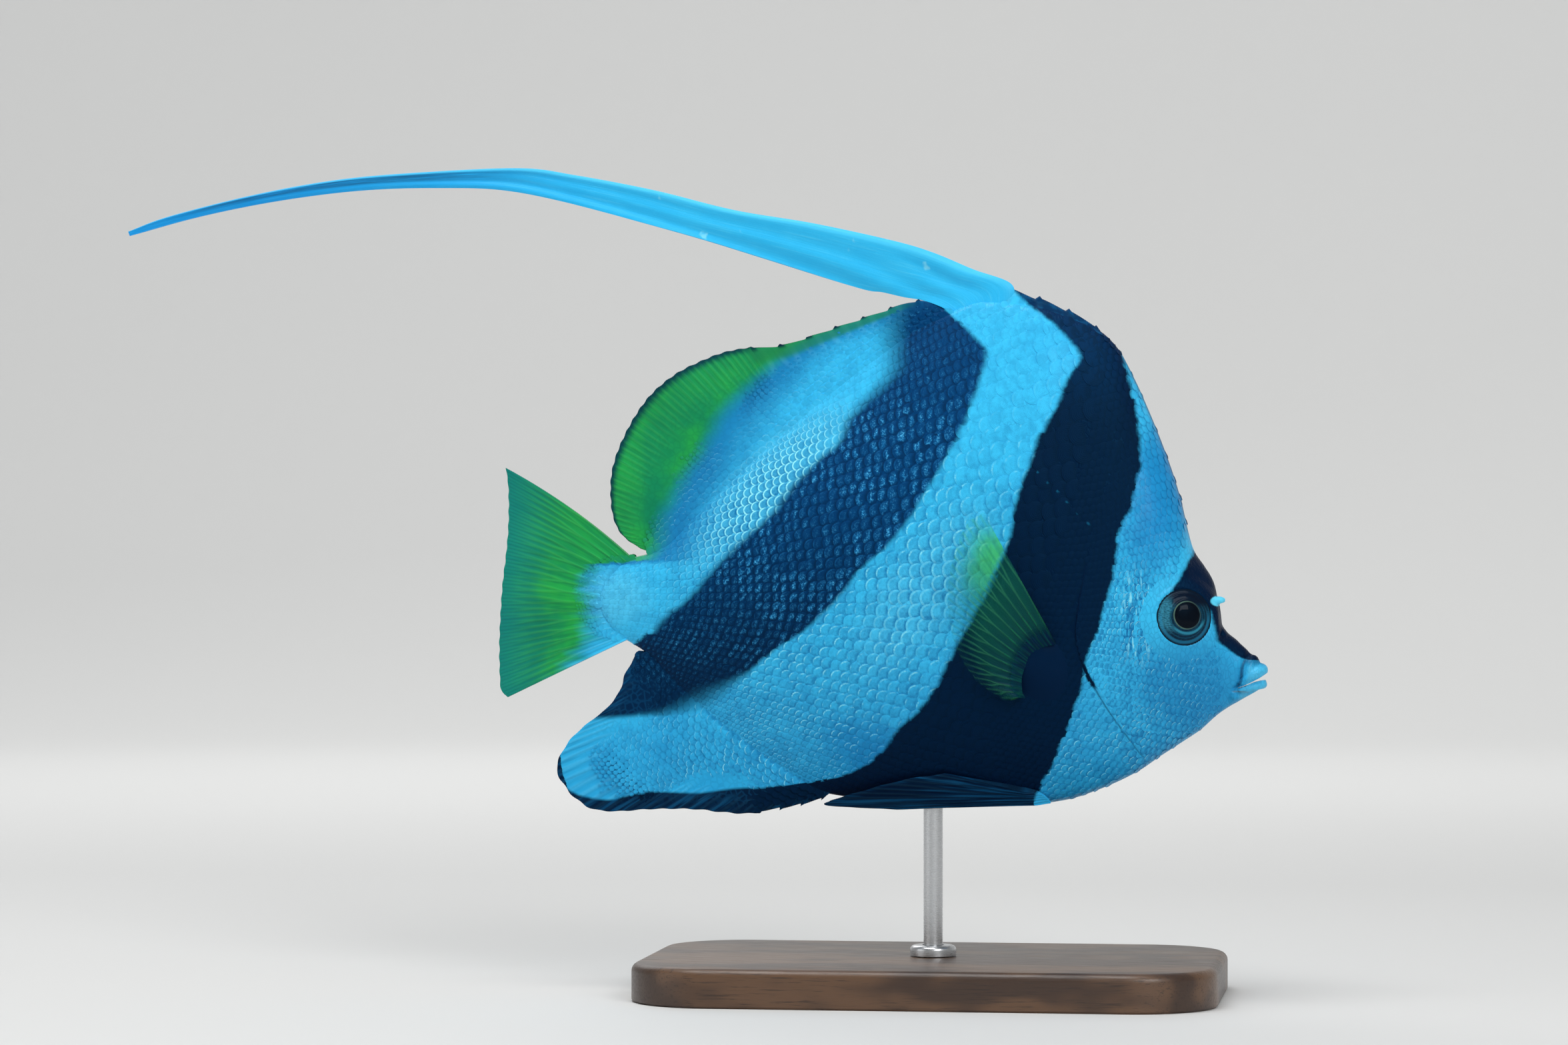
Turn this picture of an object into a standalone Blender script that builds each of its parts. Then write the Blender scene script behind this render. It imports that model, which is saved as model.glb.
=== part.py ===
"""A life-size bannerfish (pennant coralfish) on a plain display stand, modelled as separate solids.

Metres, +Z up. The fish swims towards +X with its mid plane on Y = 0, and its near side faces -Y.
The origin is on the floor, under the rod. Outlines are written in millimetres in the fish's own
side view, x along the fish and z above the lowest point of its fins, and MM turns them to metres.
"""

import math

import bmesh
import bpy
import numpy as np
from mathutils import Matrix, Vector

MM = 0.001

# Stand
BASE_LENGTH, BASE_WIDTH, BASE_HEIGHT = 150 * MM, 92 * MM, 10 * MM
BASE_CORNER, BASE_BEVEL = 22 * MM, 1.6 * MM
ROD_RADIUS = 2.5 * MM
ROD_SUNK = 4 * MM
ROD_IN_BELLY = 9 * MM
COLLAR_RADIUS, COLLAR_HEIGHT = 6 * MM, 3 * MM
FISH_LIFT = 46 * MM

# Clearance that touching solids keep
GAP = 0.3 * MM

# Side outline of the body without its fins, snout to tail
BACK_LINE = (
    (86.0, 38.6), (84.6, 40.6), (82.3, 43.0), (78.7, 46.3), (75.2, 49.7), (74.2, 53.3), (73.7, 57.6),
    (72.9, 61.0), (70.6, 65.0), (67.6, 69.6), (66.3, 74.0), (64.6, 81.5), (62.2, 89.5), (59.1, 98.0),
    (56.0, 105.6), (52.4, 113.6), (48.0, 121.6), (43.3, 126.0), (35.0, 129.6), (27.8, 132.0),
    (13.9, 133.6), (0.0, 128.9), (-17.4, 117.6), (-34.9, 103.7), (-52.5, 88.1), (-63.1, 77.6),
    (-70.1, 70.6), (-75.4, 68.2), (-79.0, 67.4), (-83.0, 65.2), (-86.0, 61.8), (-88.0, 57.8),
)
BELLY_LINE = (
    (86.0, 34.6), (83.7, 33.1), (79.4, 30.8), (74.2, 27.5), (69.1, 23.0), (64.0, 19.6), (58.8, 16.2),
    (53.6, 12.6), (43.3, 7.7), (34.7, 4.9), (24.3, 3.6), (8.7, 3.7), (-8.7, 4.1), (-27.9, 6.4),
    (-42.0, 13.5), (-56.0, 23.4), (-66.6, 33.4), (-75.4, 42.6), (-79.9, 45.4), (-84.0, 47.8),
    (-86.4, 50.9), (-88.0, 54.8),
)
# Half width of each cross-section, and the height where it is widest
HALF_WIDTH = (
    (86.0, 1.7), (84.0, 2.7), (80.0, 3.7), (76.0, 4.8), (72.0, 6.7), (68.0, 8.7), (62.0, 10.6),
    (55.0, 12.2), (45.0, 14.2), (35.0, 15.4), (22.0, 16.2), (8.0, 16.0), (-8.0, 14.9), (-25.0, 12.5),
    (-42.0, 9.5), (-58.0, 6.7), (-70.0, 4.8), (-78.0, 3.7), (-84.0, 2.7), (-88.0, 1.9),
)
WIDEST_LINE = (
    (86.0, 36.6), (80.0, 38.0), (72.0, 45.0), (62.0, 50.0), (50.0, 52.0), (35.0, 55.0), (10.0, 60.0),
    (-20.0, 61.0), (-45.0, 60.0), (-70.0, 57.0), (-88.0, 56.3),
)
# Half thickness left along the back and the belly, where the median fins grow
BACK_EDGE = (
    (86.0, 0.4), (50.0, 0.5), (43.0, 0.9), (30.0, 1.6), (0.0, 1.8), (-35.0, 1.7), (-60.0, 1.4),
    (-72.0, 0.9), (-80.0, 0.6), (-88.0, 0.6),
)
BELLY_EDGE = (
    (86.0, 0.4), (10.0, 0.5), (-20.0, 0.9), (-34.0, 1.5), (-60.0, 1.4), (-74.0, 0.9), (-80.0, 0.6),
    (-88.0, 0.6),
)
# How round a section is: 0.5 gives an ellipse, 1 a wedge
BACK_WEDGE = (
    (86.0, 0.5), (60.0, 0.52), (48.0, 0.62), (20.0, 0.85), (-50.0, 0.9), (-74.0, 0.65), (-88.0, 0.5),
)
BELLY_WEDGE = (
    (86.0, 0.5), (40.0, 0.52), (0.0, 0.58), (-25.0, 0.75), (-60.0, 0.88), (-76.0, 0.65), (-88.0, 0.5),
)

# Edge of the gill cover, nape to throat, and how proud it stands of the shoulder behind it
GILL_EDGE = (
    (58.0, 116.0), (53.0, 104.0), (47.5, 90.0), (43.6, 78.0), (41.2, 67.0), (39.2, 56.0),
    (38.3, 48.5), (39.6, 41.8), (42.6, 35.2), (46.2, 28.8), (49.8, 23.5), (53.4, 18.2), (58.5, 11.0),
)
GILL_STEP = 0.55
GILL_STEP_REACH = 11.0
TAIL_CUT = ((-66.0, 84.0), (-68.0, 57.0), (-64.0, 26.0))
# Side view limits well outside the body, for the blocks that part it
CLEAR_AHEAD, CLEAR_BEHIND, CLEAR_BELOW, CLEAR_ABOVE = 120.0, -140.0, -20.0, 160.0

# Head
EYE_X, EYE_Z, EYE_RADIUS = 65.6, 52.3, 7.2
EYE_DOME, EYE_DEPTH = 1.7, 3.4
ORBIT_ROLL = 0.45
BROW_X, BROW_Z = 73.4, 57.2
BROW_LENGTH, BROW_RADIUS = 2.8, 1.05
NOSTRIL_X, NOSTRIL_Z = 74.6, 49.4
NOSTRIL_RADIUS, NOSTRIL_DEPTH = 0.6, 1.3
NOSTRIL_FLAP = 1.5
# Mouth: front and corner of each lip as (x, z, thickness), and how far out its corner lies
UPPER_LIP_FRONT, UPPER_LIP_CORNER = (84.9, 38.6, 3.6), (79.2, 35.0, 1.5)
LOWER_LIP_FRONT, LOWER_LIP_CORNER = (85.3, 35.1, 2.4), (79.2, 33.3, 1.4)
LIP_HALF_WIDTH = 3.5
MOUTH_LINE = ((78.6, 34.1), (83.0, 35.7), (90.0, 37.6))
MOUTH_OPENING = (0.2, 0.3, 1.1)

# Fins
FIN_EDGE_HALF = 0.28
RAY_RIDGE = 0.26


def curve_of(points):
    """A function through the points (x, y) that keeps their rises and falls, with no overshoot."""
    pts = np.array(sorted(points), float)
    x, y = pts[:, 0], pts[:, 1]
    step, slope = np.diff(x), np.diff(y) / np.diff(x)
    tangent = np.zeros(len(x))
    tangent[0], tangent[-1] = slope[0], slope[-1]
    for i in range(1, len(x) - 1):
        if slope[i - 1] * slope[i] > 0:
            a, b = 2 * step[i] + step[i - 1], step[i] + 2 * step[i - 1]
            tangent[i] = (a + b) / (a / slope[i - 1] + b / slope[i])

    def value(at):
        at = min(max(at, x[0]), x[-1])
        i = min(max(int(np.searchsorted(x, at)) - 1, 0), len(step) - 1)
        t = (at - x[i]) / step[i]
        return float(
            y[i] * (1 + 2 * t) * (1 - t) ** 2
            + step[i] * tangent[i] * t * (1 - t) ** 2
            + y[i + 1] * t * t * (3 - 2 * t)
            + step[i] * tangent[i + 1] * t * t * (t - 1)
        )

    return value


def path_of(points):
    """A function of 0 to 1 that runs at even speed along a smooth line through the points."""
    pts = np.array(points, float)
    padded = np.vstack([2 * pts[0] - pts[1], pts, 2 * pts[-1] - pts[-2]])
    fine = []
    for i in range(1, len(padded) - 2):
        p0, p1, p2, p3 = padded[i - 1 : i + 3]
        for t in np.linspace(0, 1, 12, endpoint=False):
            fine.append(
                0.5 * (2 * p1 + (p2 - p0) * t + (2 * p0 - 5 * p1 + 4 * p2 - p3) * t**2
                       + (3 * p1 - p0 - 3 * p2 + p3) * t**3)
            )
    fine = np.array(fine + [pts[-1]])
    along = np.concatenate([[0], np.cumsum(np.linalg.norm(np.diff(fine, axis=0), axis=1))])
    along /= along[-1]

    def value(s):
        return np.array([np.interp(s, along, fine[:, k]) for k in range(fine.shape[1])])

    return value


def ease(t):
    t = min(max(t, 0.0), 1.0)
    return t * t * (3 - 2 * t)


back, belly = curve_of(BACK_LINE), curve_of(BELLY_LINE)
half_width, widest = curve_of(HALF_WIDTH), curve_of(WIDEST_LINE)
back_edge, belly_edge = curve_of(BACK_EDGE), curve_of(BELLY_EDGE)
back_wedge, belly_wedge = curve_of(BACK_WEDGE), curve_of(BELLY_WEDGE)
gill_x = curve_of([(z, x) for x, z in GILL_EDGE])


def side_at(x, z, proud=0.0):
    """Half width of the fish's body at a point of its side view, in millimetres."""
    middle = widest(x)
    if z >= middle:
        reach, edge, wedge = back(x) - middle, back_edge(x), back_wedge(x)
    else:
        reach, edge, wedge = middle - belly(x), belly_edge(x), belly_wedge(x)
    share = min(abs(z - middle) / reach, 1.0)
    round_part = (1 - share**2) ** wedge
    return edge + (half_width(x) - edge + proud * round_part) * round_part


def gill_rise(x, z):
    """How far the gill cover stands out, growing towards its free edge."""
    behind = (x - gill_x(z)) / GILL_STEP_REACH
    return GILL_STEP * ease(1 - behind)


def place(x, y, z):
    """A point of the fish in metres, above the stand."""
    return Vector((x * MM, y * MM, z * MM + FISH_LIFT))


def clear_scene():
    for obj in list(bpy.data.objects):
        bpy.data.objects.remove(obj)


def finish_of(name, colour, roughness, metallic=0.0):
    found = bpy.data.materials.get(name)
    if found:
        return found
    made = bpy.data.materials.new(name)
    made.use_nodes = True
    shader = made.node_tree.nodes["Principled BSDF"]
    shader.inputs["Base Color"].default_value = (*colour, 1)
    shader.inputs["Roughness"].default_value = roughness
    shader.inputs["Metallic"].default_value = metallic
    made.diffuse_color = (*colour, 1)
    return made


def pale_skin():
    return finish_of("pale skin", (0.55, 0.78, 0.88), 0.4)


def dark_fin():
    return finish_of("dark fin", (0.012, 0.02, 0.05), 0.45)


def yellow_fin():
    return finish_of("yellow fin", (0.36, 0.55, 0.06), 0.45)


def add_object(name, mesh, finish=None, helper=False):
    obj = bpy.data.objects.new(name, mesh)
    bpy.context.scene.collection.objects.link(obj)
    if finish:
        mesh.materials.append(finish)
    if helper:
        obj.hide_render = True
        obj.display_type = "WIRE"
    return obj


def mesh_from(name, points, faces):
    mesh = bpy.data.meshes.new(name)
    mesh.from_pydata([tuple(p) for p in points], [], faces)
    mesh.validate()
    mesh.update()
    return mesh


def smooth(obj, angle=40):
    obj.data.shade_smooth()
    obj.data.set_sharp_from_angle(angle=math.radians(angle))


def mesh_after_modifiers(obj):
    """Replaces the object's mesh by the one that its modifiers give."""
    graph = bpy.context.evaluated_depsgraph_get()
    made = bpy.data.meshes.new_from_object(obj.evaluated_get(graph))
    old = obj.data
    obj.modifiers.clear()
    obj.data = made
    if not old.users:
        bpy.data.meshes.remove(old)


def boolean(obj, operation, other):
    step = obj.modifiers.new(operation.lower(), "BOOLEAN")
    step.operation = operation
    step.object = other
    step.solver = "MANIFOLD"
    mesh_after_modifiers(obj)


def union_of(obj, others):
    """One union of the object with a collection of closed meshes, which are then removed."""
    group = bpy.data.collections.new(obj.name + "_joined")
    bpy.context.scene.collection.children.link(group)
    for other in others:
        bpy.context.scene.collection.objects.unlink(other)
        group.objects.link(other)
    step = obj.modifiers.new("union", "BOOLEAN")
    step.operation = "UNION"
    step.operand_type = "COLLECTION"
    step.collection = group
    step.solver = "MANIFOLD"
    mesh_after_modifiers(obj)
    for other in others:
        bpy.data.objects.remove(other)
    bpy.data.collections.remove(group)


def keep_largest_piece(obj):
    """Keeps only the largest closed surface of the object's mesh."""
    bm = bmesh.new()
    bm.from_mesh(obj.data)
    bm.faces.ensure_lookup_table()
    unseen, pieces = set(bm.faces), []
    while unseen:
        stack, piece = [unseen.pop()], []
        while stack:
            face = stack.pop()
            piece.append(face)
            for edge in face.edges:
                for near in edge.link_faces:
                    if near in unseen:
                        unseen.remove(near)
                        stack.append(near)
        pieces.append(piece)
    pieces.sort(key=lambda piece: sum(face.calc_area() for face in piece))
    scraps = [face for piece in pieces[:-1] for face in piece]
    bmesh.ops.delete(bm, geom=scraps, context="FACES")
    bmesh.ops.delete(bm, geom=[v for v in bm.verts if not v.link_faces], context="VERTS")
    bm.to_mesh(obj.data)
    bm.free()


def body_stations():
    """Where the cross-sections of the body lie: close together at the snout, brow and tail end."""
    snout = np.linspace(86.0, 75.6, 8, endpoint=False)
    brow = np.linspace(75.6, 60.0, 16, endpoint=False)
    trunk = np.linspace(60.0, -76.0, 42, endpoint=False)
    tail = -76.0 - 12.0 * np.sin(np.linspace(0, math.pi / 2, 8))
    return list(np.concatenate([snout, brow, trunk, tail]))


def body_mesh(name, grown=0.0, gill_cover=True, levels=13):
    """The whole body as a loft of upright sections, each a ring of points round the girth."""
    points, faces = [], []
    shares = [math.sin(math.pi / 2 * t) for t in np.linspace(-1, 1, levels)]
    ring = 2 * levels
    stations = body_stations()
    ends = {stations[0]: grown, stations[-1]: -grown}
    for x in stations:
        middle = widest(x)
        side = []
        for share in shares:
            reach = back(x) - middle if share >= 0 else middle - belly(x)
            z = middle + share * reach
            proud = gill_rise(x, z) if gill_cover else 0.0
            out = side_at(x, z, proud) + grown
            side.append((out, z + share * grown))
        across = x + ends.get(x, 0.0)
        points += [place(across, -out, z) for out, z in side]
        points += [place(across, out, z) for out, z in reversed(side)]
    for i in range(len(stations) - 1):
        for j in range(ring):
            a, b = i * ring + j, i * ring + (j + 1) % ring
            faces.append((a, a + ring, b + ring, b))
    faces.append(tuple(range(ring)))
    last = (len(stations) - 1) * ring
    faces.append(tuple(last + j for j in reversed(range(ring))))
    mesh = mesh_from(name, points, faces)
    outward(mesh)
    return mesh


def prism(name, outline, half=40.0):
    """A block of the side view's outline, right through the fish, as a cutter."""
    near = [place(x, -half, z) for x, z in outline]
    far = [place(x, half, z) for x, z in outline]
    count = len(outline)
    faces = [tuple(range(count)), tuple(reversed(range(count, 2 * count)))]
    faces += [(i, i + count, (i + 1) % count + count, (i + 1) % count) for i in range(count)]
    mesh = mesh_from(name, near + far, faces)
    outward(mesh)
    return add_object(name, mesh, helper=True)


def outward(mesh):
    bm = bmesh.new()
    bm.from_mesh(mesh)
    bmesh.ops.recalc_face_normals(bm, faces=bm.faces)
    bm.to_mesh(mesh)
    bm.free()


def cut_line(points, shift, steps=22):
    """A parting line of the side view, moved along X by shift."""
    smooth_line = path_of(points)
    return [tuple(smooth_line(s) + np.array([shift, 0])) for s in np.linspace(0, 1, steps)]


def beyond(name, line, far_x):
    """A block that holds all of the fish on one side of a parting line, as far as far_x."""
    above, below = (line[0][0], CLEAR_ABOVE), (line[-1][0], CLEAR_BELOW)
    return prism(name, [above] + line + [below, (far_x, CLEAR_BELOW), (far_x, CLEAR_ABOVE)])


def divide_body():
    """Head, trunk and tail stalk, parted by thin cuts along the gill cover and behind the fins."""
    half_gap = GAP / MM / 2
    head_room = beyond("head_room", cut_line(GILL_EDGE, half_gap), CLEAR_AHEAD)
    trunk_off = beyond("trunk_off", cut_line(GILL_EDGE, -half_gap), CLEAR_AHEAD)
    tail_room = beyond("tail_room", cut_line(TAIL_CUT, -half_gap), CLEAR_BEHIND)
    tail_off = beyond("tail_off", cut_line(TAIL_CUT, half_gap), CLEAR_BEHIND)
    head = add_object("head", body_mesh("head"), pale_skin())
    boolean(head, "INTERSECT", head_room)
    trunk = add_object("trunk", body_mesh("trunk", gill_cover=False), pale_skin())
    boolean(trunk, "DIFFERENCE", trunk_off)
    boolean(trunk, "DIFFERENCE", tail_off)
    tail = add_object("tail_stalk", body_mesh("tail_stalk", gill_cover=False), pale_skin())
    boolean(tail, "INTERSECT", tail_room)
    for cutter in (head_room, trunk_off, tail_room, tail_off):
        bpy.data.objects.remove(cutter)
    return head, trunk, tail


def side_normal(x, z):
    """Outward direction of the near side's surface, as a unit vector of the fish's frame."""
    reach = 0.5
    along = side_at(x + reach, z) - side_at(x - reach, z)
    up = side_at(x, z + reach) - side_at(x, z - reach)
    return Vector((-along / (2 * reach), -1.0, -up / (2 * reach))).normalized()


def turned(name, profile, steps=24):
    """A solid of revolution about +Z from (radius, height) points, closed at both poles."""
    points = [Vector((0, 0, profile[0][1] * MM))]
    for radius, height in profile[1:-1]:
        for k in range(steps):
            turn = 2 * math.pi * k / steps
            points.append(Vector((radius * math.cos(turn), radius * math.sin(turn), height)) * MM)
    points.append(Vector((0, 0, profile[-1][1] * MM)))
    faces, last, rings = [], len(points) - 1, len(profile) - 2
    for k in range(steps):
        near, far = 1 + k, 1 + (k + 1) % steps
        faces.append((0, near, far))
        for r in range(rings - 1):
            a, b = near + r * steps, far + r * steps
            faces.append((a, a + steps, b + steps, b))
        bottom = (rings - 1) * steps
        faces.append((last, far + bottom, near + bottom))
    mesh = mesh_from(name, points, faces)
    outward(mesh)
    return mesh


def side_frame(x, z, side, sink=0.0):
    """A frame on the flank with its Z axis out of the skin: side is -1 for the near one, 1 for the far."""
    normal = side_normal(x, z)
    normal.y *= -side
    spot = place(x, side * side_at(x, z), z) - normal * sink * MM
    return Matrix.Translation(spot) @ normal.to_track_quat("Z", "Y").to_matrix().to_4x4()


def eye_profile(grown=0.0):
    """Cornea dome, rim and the shallow bowl behind it."""
    rim = EYE_RADIUS + grown
    return [
        (0, EYE_DOME + grown), (rim * 0.35, EYE_DOME * 0.9 + grown), (rim * 0.65, EYE_DOME * 0.58 + grown),
        (rim * 0.88, EYE_DOME * 0.2 + grown), (rim, -0.5), (rim * 0.9, -1.7 - grown),
        (rim * 0.6, -2.9 - grown), (0, -EYE_DEPTH - grown),
    ]


def socket_profile():
    gap = GAP / MM
    rim, mouth = EYE_RADIUS + gap, EYE_DOME * 3
    bowl = [(rim * 0.9, -1.7 - gap), (rim * 0.6, -2.9 - gap), (0, -EYE_DEPTH - gap)]
    return [(0, mouth), (rim, mouth), (rim, -0.5)] + bowl


def roll(name, ring_radius, roll_radius, steps=24, around=6):
    """A torus about +Z, for the raised rim of the eye's opening."""
    points, faces = [], []
    for k in range(steps):
        turn = 2 * math.pi * k / steps
        for m in range(around):
            tilt = 2 * math.pi * m / around
            out = ring_radius + roll_radius * math.cos(tilt)
            points.append(
                Vector((out * math.cos(turn), out * math.sin(turn), roll_radius * math.sin(tilt))) * MM
            )
    for k in range(steps):
        for m in range(around):
            a, b = k * around + m, k * around + (m + 1) % around
            c, d = (k + 1) % steps * around + (m + 1) % around, (k + 1) % steps * around + m
            faces.append((a, d, c, b))
    mesh = mesh_from(name, points, faces)
    outward(mesh)
    return mesh


def tube(name, centres, radii, sides=8):
    """A closed tapering tube along the points, in millimetres of the fish's frame."""
    points, faces = [], []
    spots = [Vector(c) for c in centres]
    for i, (spot, radius) in enumerate(zip(spots, radii)):
        ahead = (spots[min(i + 1, len(spots) - 1)] - spots[max(i - 1, 0)]).normalized()
        across = ahead.cross(Vector((0, 0, 1)))
        across = across.normalized() if across.length > 1e-3 else Vector((1, 0, 0))
        upward = across.cross(ahead)
        for k in range(sides):
            turn = 2 * math.pi * k / sides
            ring = spot + (across * math.cos(turn) + upward * math.sin(turn)) * radius
            points.append(place(*ring))
    for i in range(len(spots) - 1):
        for k in range(sides):
            a, b = i * sides + k, i * sides + (k + 1) % sides
            faces.append((a, b, b + sides, a + sides))
    faces.append(tuple(reversed(range(sides))))
    faces.append(tuple(range(len(points) - sides, len(points))))
    mesh = mesh_from(name, points, faces)
    outward(mesh)
    return mesh


def lip(name, front, corner):
    """One lip: a soft roll that runs from corner to corner round the front of the snout."""
    front, corner = np.array(front), np.array(corner)
    centres, radii = [], []
    for turn in np.linspace(-math.pi / 2, math.pi / 2, 13):
        x, z, thick = corner + (front - corner) * max(math.cos(turn), 0.0)
        centres.append((x, LIP_HALF_WIDTH * math.sin(turn), z))
        radii.append(thick / 2)
    return add_object(name, tube(name, centres, radii))


def shape_head(head):
    """Lips, brow spines and orbit rims joined on, then eye sockets, nostrils and the mouth cut in."""
    added = [
        lip("upper_lip", UPPER_LIP_FRONT, UPPER_LIP_CORNER),
        lip("lower_lip", LOWER_LIP_FRONT, LOWER_LIP_CORNER),
    ]
    for side in (-1, 1):
        rim = add_object("orbit_rim", roll("orbit_rim", EYE_RADIUS + 0.3, ORBIT_ROLL))
        rim.matrix_world = side_frame(EYE_X, EYE_Z, side, sink=0.15)
        added.append(rim)
        out = side * side_at(BROW_X - 1.6, BROW_Z - 0.6) * 0.86
        root = (BROW_X - BROW_LENGTH * 0.5, out, BROW_Z - 0.5)
        tip = (BROW_X + BROW_LENGTH * 0.5, out * 1.02, BROW_Z + 0.2)
        middle = tuple((a + b) / 2 for a, b in zip(root, tip))
        added.append(
            add_object("brow_spine", tube("brow_spine", [root, middle, tip],
                                          [BROW_RADIUS, BROW_RADIUS * 0.9, BROW_RADIUS * 0.5]))
        )
        out = side * side_at(NOSTRIL_X - 1.0, NOSTRIL_Z + 0.6)
        foot = (NOSTRIL_X - 1.0, out * 0.92, NOSTRIL_Z + 0.1)
        lobe = (NOSTRIL_X - 0.5, out * 0.92 + side * NOSTRIL_FLAP * 0.6, NOSTRIL_Z + NOSTRIL_FLAP * 0.8)
        added.append(add_object("nostril_flap", tube("nostril_flap", [foot, lobe], [0.7, 0.35], sides=6)))
    bpy.context.view_layer.update()
    union_of(head, added)
    cutters = []
    for side in (-1, 1):
        socket = add_object("socket", turned("socket", socket_profile()), helper=True)
        socket.matrix_world = side_frame(EYE_X, EYE_Z, side)
        cutters.append(socket)
        pit = [(0, 2), (NOSTRIL_RADIUS, 2), (NOSTRIL_RADIUS, -NOSTRIL_DEPTH * 0.5), (0, -NOSTRIL_DEPTH)]
        nostril = add_object("nostril", turned("nostril", pit, steps=8), helper=True)
        nostril.matrix_world = side_frame(NOSTRIL_X, NOSTRIL_Z, side)
        cutters.append(nostril)
    lower = [(x, z - opening / 2) for (x, z), opening in zip(MOUTH_LINE, MOUTH_OPENING)]
    upper = [(x, z + opening / 2) for (x, z), opening in zip(MOUTH_LINE, MOUTH_OPENING)]
    cutters.append(prism("mouth_slit", lower + upper[::-1]))
    bpy.context.view_layer.update()
    for cutter in cutters:
        boolean(head, "DIFFERENCE", cutter)
        bpy.data.objects.remove(cutter)
    keep_largest_piece(head)


def add_eyes():
    for side, name in ((-1, "eye_right"), (1, "eye_left")):
        mesh = turned(name, eye_profile())
        eye = add_object(name, mesh, finish_of("eye", (0.02, 0.03, 0.05), 0.08))
        eye.matrix_world = side_frame(EYE_X, EYE_Z, side)
        smooth(eye)


def sheet_mesh(name, grid, halves):
    """A closed thin sheet: grid[i][j] are its middle points and halves[i][j] half its thickness.

    Both faces are split into triangles alike, so that a thin wall never crosses itself.
    """
    columns, rows = len(grid), len(grid[0])
    points, faces = [], []
    for side in (-1, 1):
        for i in range(columns):
            for j in range(rows):
                middle = Vector(grid[i][j])
                before, after = Vector(grid[max(i - 1, 0)][j]), Vector(grid[min(i + 1, columns - 1)][j])
                inner, outer = Vector(grid[i][max(j - 1, 0)]), Vector(grid[i][min(j + 1, rows - 1)])
                normal = (after - before).cross(outer - inner)
                normal = normal.normalized() if normal.length > 0 else Vector((0, 1, 0))
                if normal.y < 0:
                    normal.negate()
                points.append(place(*(middle + normal * side * halves[i][j])))
    far = columns * rows

    def at(i, j, side):
        return side * far + i * rows + j

    for i in range(columns - 1):
        for j in range(rows - 1):
            a, b, c, d = at(i, j, 0), at(i + 1, j, 0), at(i + 1, j + 1, 0), at(i, j + 1, 0)
            faces += [(a, b, c), (a, c, d), (a + far, c + far, b + far), (a + far, d + far, c + far)]
    rim = [(i, 0) for i in range(columns)] + [(columns - 1, j) for j in range(1, rows)]
    rim += [(i, rows - 1) for i in range(columns - 2, -1, -1)] + [(0, j) for j in range(rows - 2, 0, -1)]
    for k, (i, j) in enumerate(rim):
        m, n = rim[(k + 1) % len(rim)]
        faces += [(at(i, j, 0), at(m, n, 0), at(m, n, 1)), (at(i, j, 0), at(m, n, 1), at(i, j, 1))]
    mesh = mesh_from(name, points, faces)
    outward(mesh)
    return mesh


def rayed_sheet(name, base, edge, rays, rows, root_half, sway=None, scallop=0.0, sunk=2.5, ridge=RAY_RIDGE,
                edge_half=FIN_EDGE_HALF, bow=0.0):
    """A fin between a base line and an edge line, with a ridge for each ray on both faces.

    Even columns are rays and odd ones the membrane, whose edge is drawn in by scallop. The sheet
    starts sunk millimetres inside the body, and root_half is a number or a function of 0 to 1.
    The first ray is bowed outwards by bow millimetres, and the others less and less.
    """
    base_at, edge_at = path_of(base), path_of(edge)
    columns = 2 * rays - 1
    grid, halves = [], []
    for i in range(columns):
        s = i / (columns - 1)
        root, tip = base_at(s), edge_at(s)
        is_ray = i % 2 == 0
        length = np.linalg.norm(tip - root)
        if not is_ray:
            tip = root + (tip - root) * (1 - scallop / length)
        thick = root_half(s) if callable(root_half) else root_half
        line, half = [], []
        for j in range(rows):
            t = -sunk / length + (1 + sunk / length) * j / (rows - 1)
            spot = root + (tip - root) * t
            if len(spot) == 2:
                out = sway(s, max(t, 0)) if sway else 0.0
                run = (tip - root) / length
                lift = bow * (1 - s) ** 2 * 4 * max(t, 0) * (1 - max(t, 0))
                spot = (spot[0] + run[1] * lift, out, spot[1] - run[0] * lift)
            line.append(tuple(spot))
            fall = (1 - min(max(t, 0), 1)) ** 1.6
            raised = ridge * (1 - 0.6 * max(t, 0)) if is_ray else 0.0
            half.append(edge_half + (thick - edge_half) * fall + raised)
        grid.append(line)
        halves.append(half)
    return sheet_mesh(name, grid, halves)


def add_fin(name, mesh, finish, clearance):
    fin = add_object(name, mesh, finish)
    boolean(fin, "DIFFERENCE", clearance)
    keep_largest_piece(fin)
    smooth(fin, 50)
    return fin


def add_dorsal_front(clearance):
    """The three short, dark spines in front of the banner."""
    base = [(44.2, 125.0), (38.0, 127.6), (30.0, 130.6), (21.3, 132.2)]
    edge = [(42.4, 127.6), (38.6, 130.2), (31.0, 134.3), (22.0, 138.0)]
    mesh = rayed_sheet("fin_dorsal_front", base, edge, 4, 5, 1.2, scallop=0.9)
    add_fin("fin_dorsal_front", mesh, dark_fin(), clearance)


BANNER_TOP = (
    (20.6, 132.6), (20.4, 138.4), (10.4, 142.3), (0.0, 146.7), (-10.5, 149.9), (-31.4, 154.6),
    (-52.5, 158.3), (-73.7, 163.7), (-94.9, 167.9), (-110.0, 169.9), (-137.8, 168.9), (-159.3, 167.0),
    (-181.0, 163.1), (-202.7, 157.6), (-213.6, 153.6),
)
BANNER_BOTTOM = (
    (2.6, 129.8), (2.2, 135.4), (-4.4, 136.2), (-12.2, 136.6), (-20.1, 137.6), (-43.7, 145.3),
    (-59.6, 150.3), (-75.4, 154.8), (-99.4, 161.3), (-115.4, 164.3), (-131.5, 164.9), (-147.6, 164.6),
    (-163.8, 163.1), (-180.1, 160.6), (-196.4, 157.1), (-213.2, 152.4),
)
BANNER_CUTS = (0.0, 0.36, 0.68, 1.0)
BANNER_ROWS = (15, 11, 11)
BANNER_SWAY = 7.0
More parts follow.
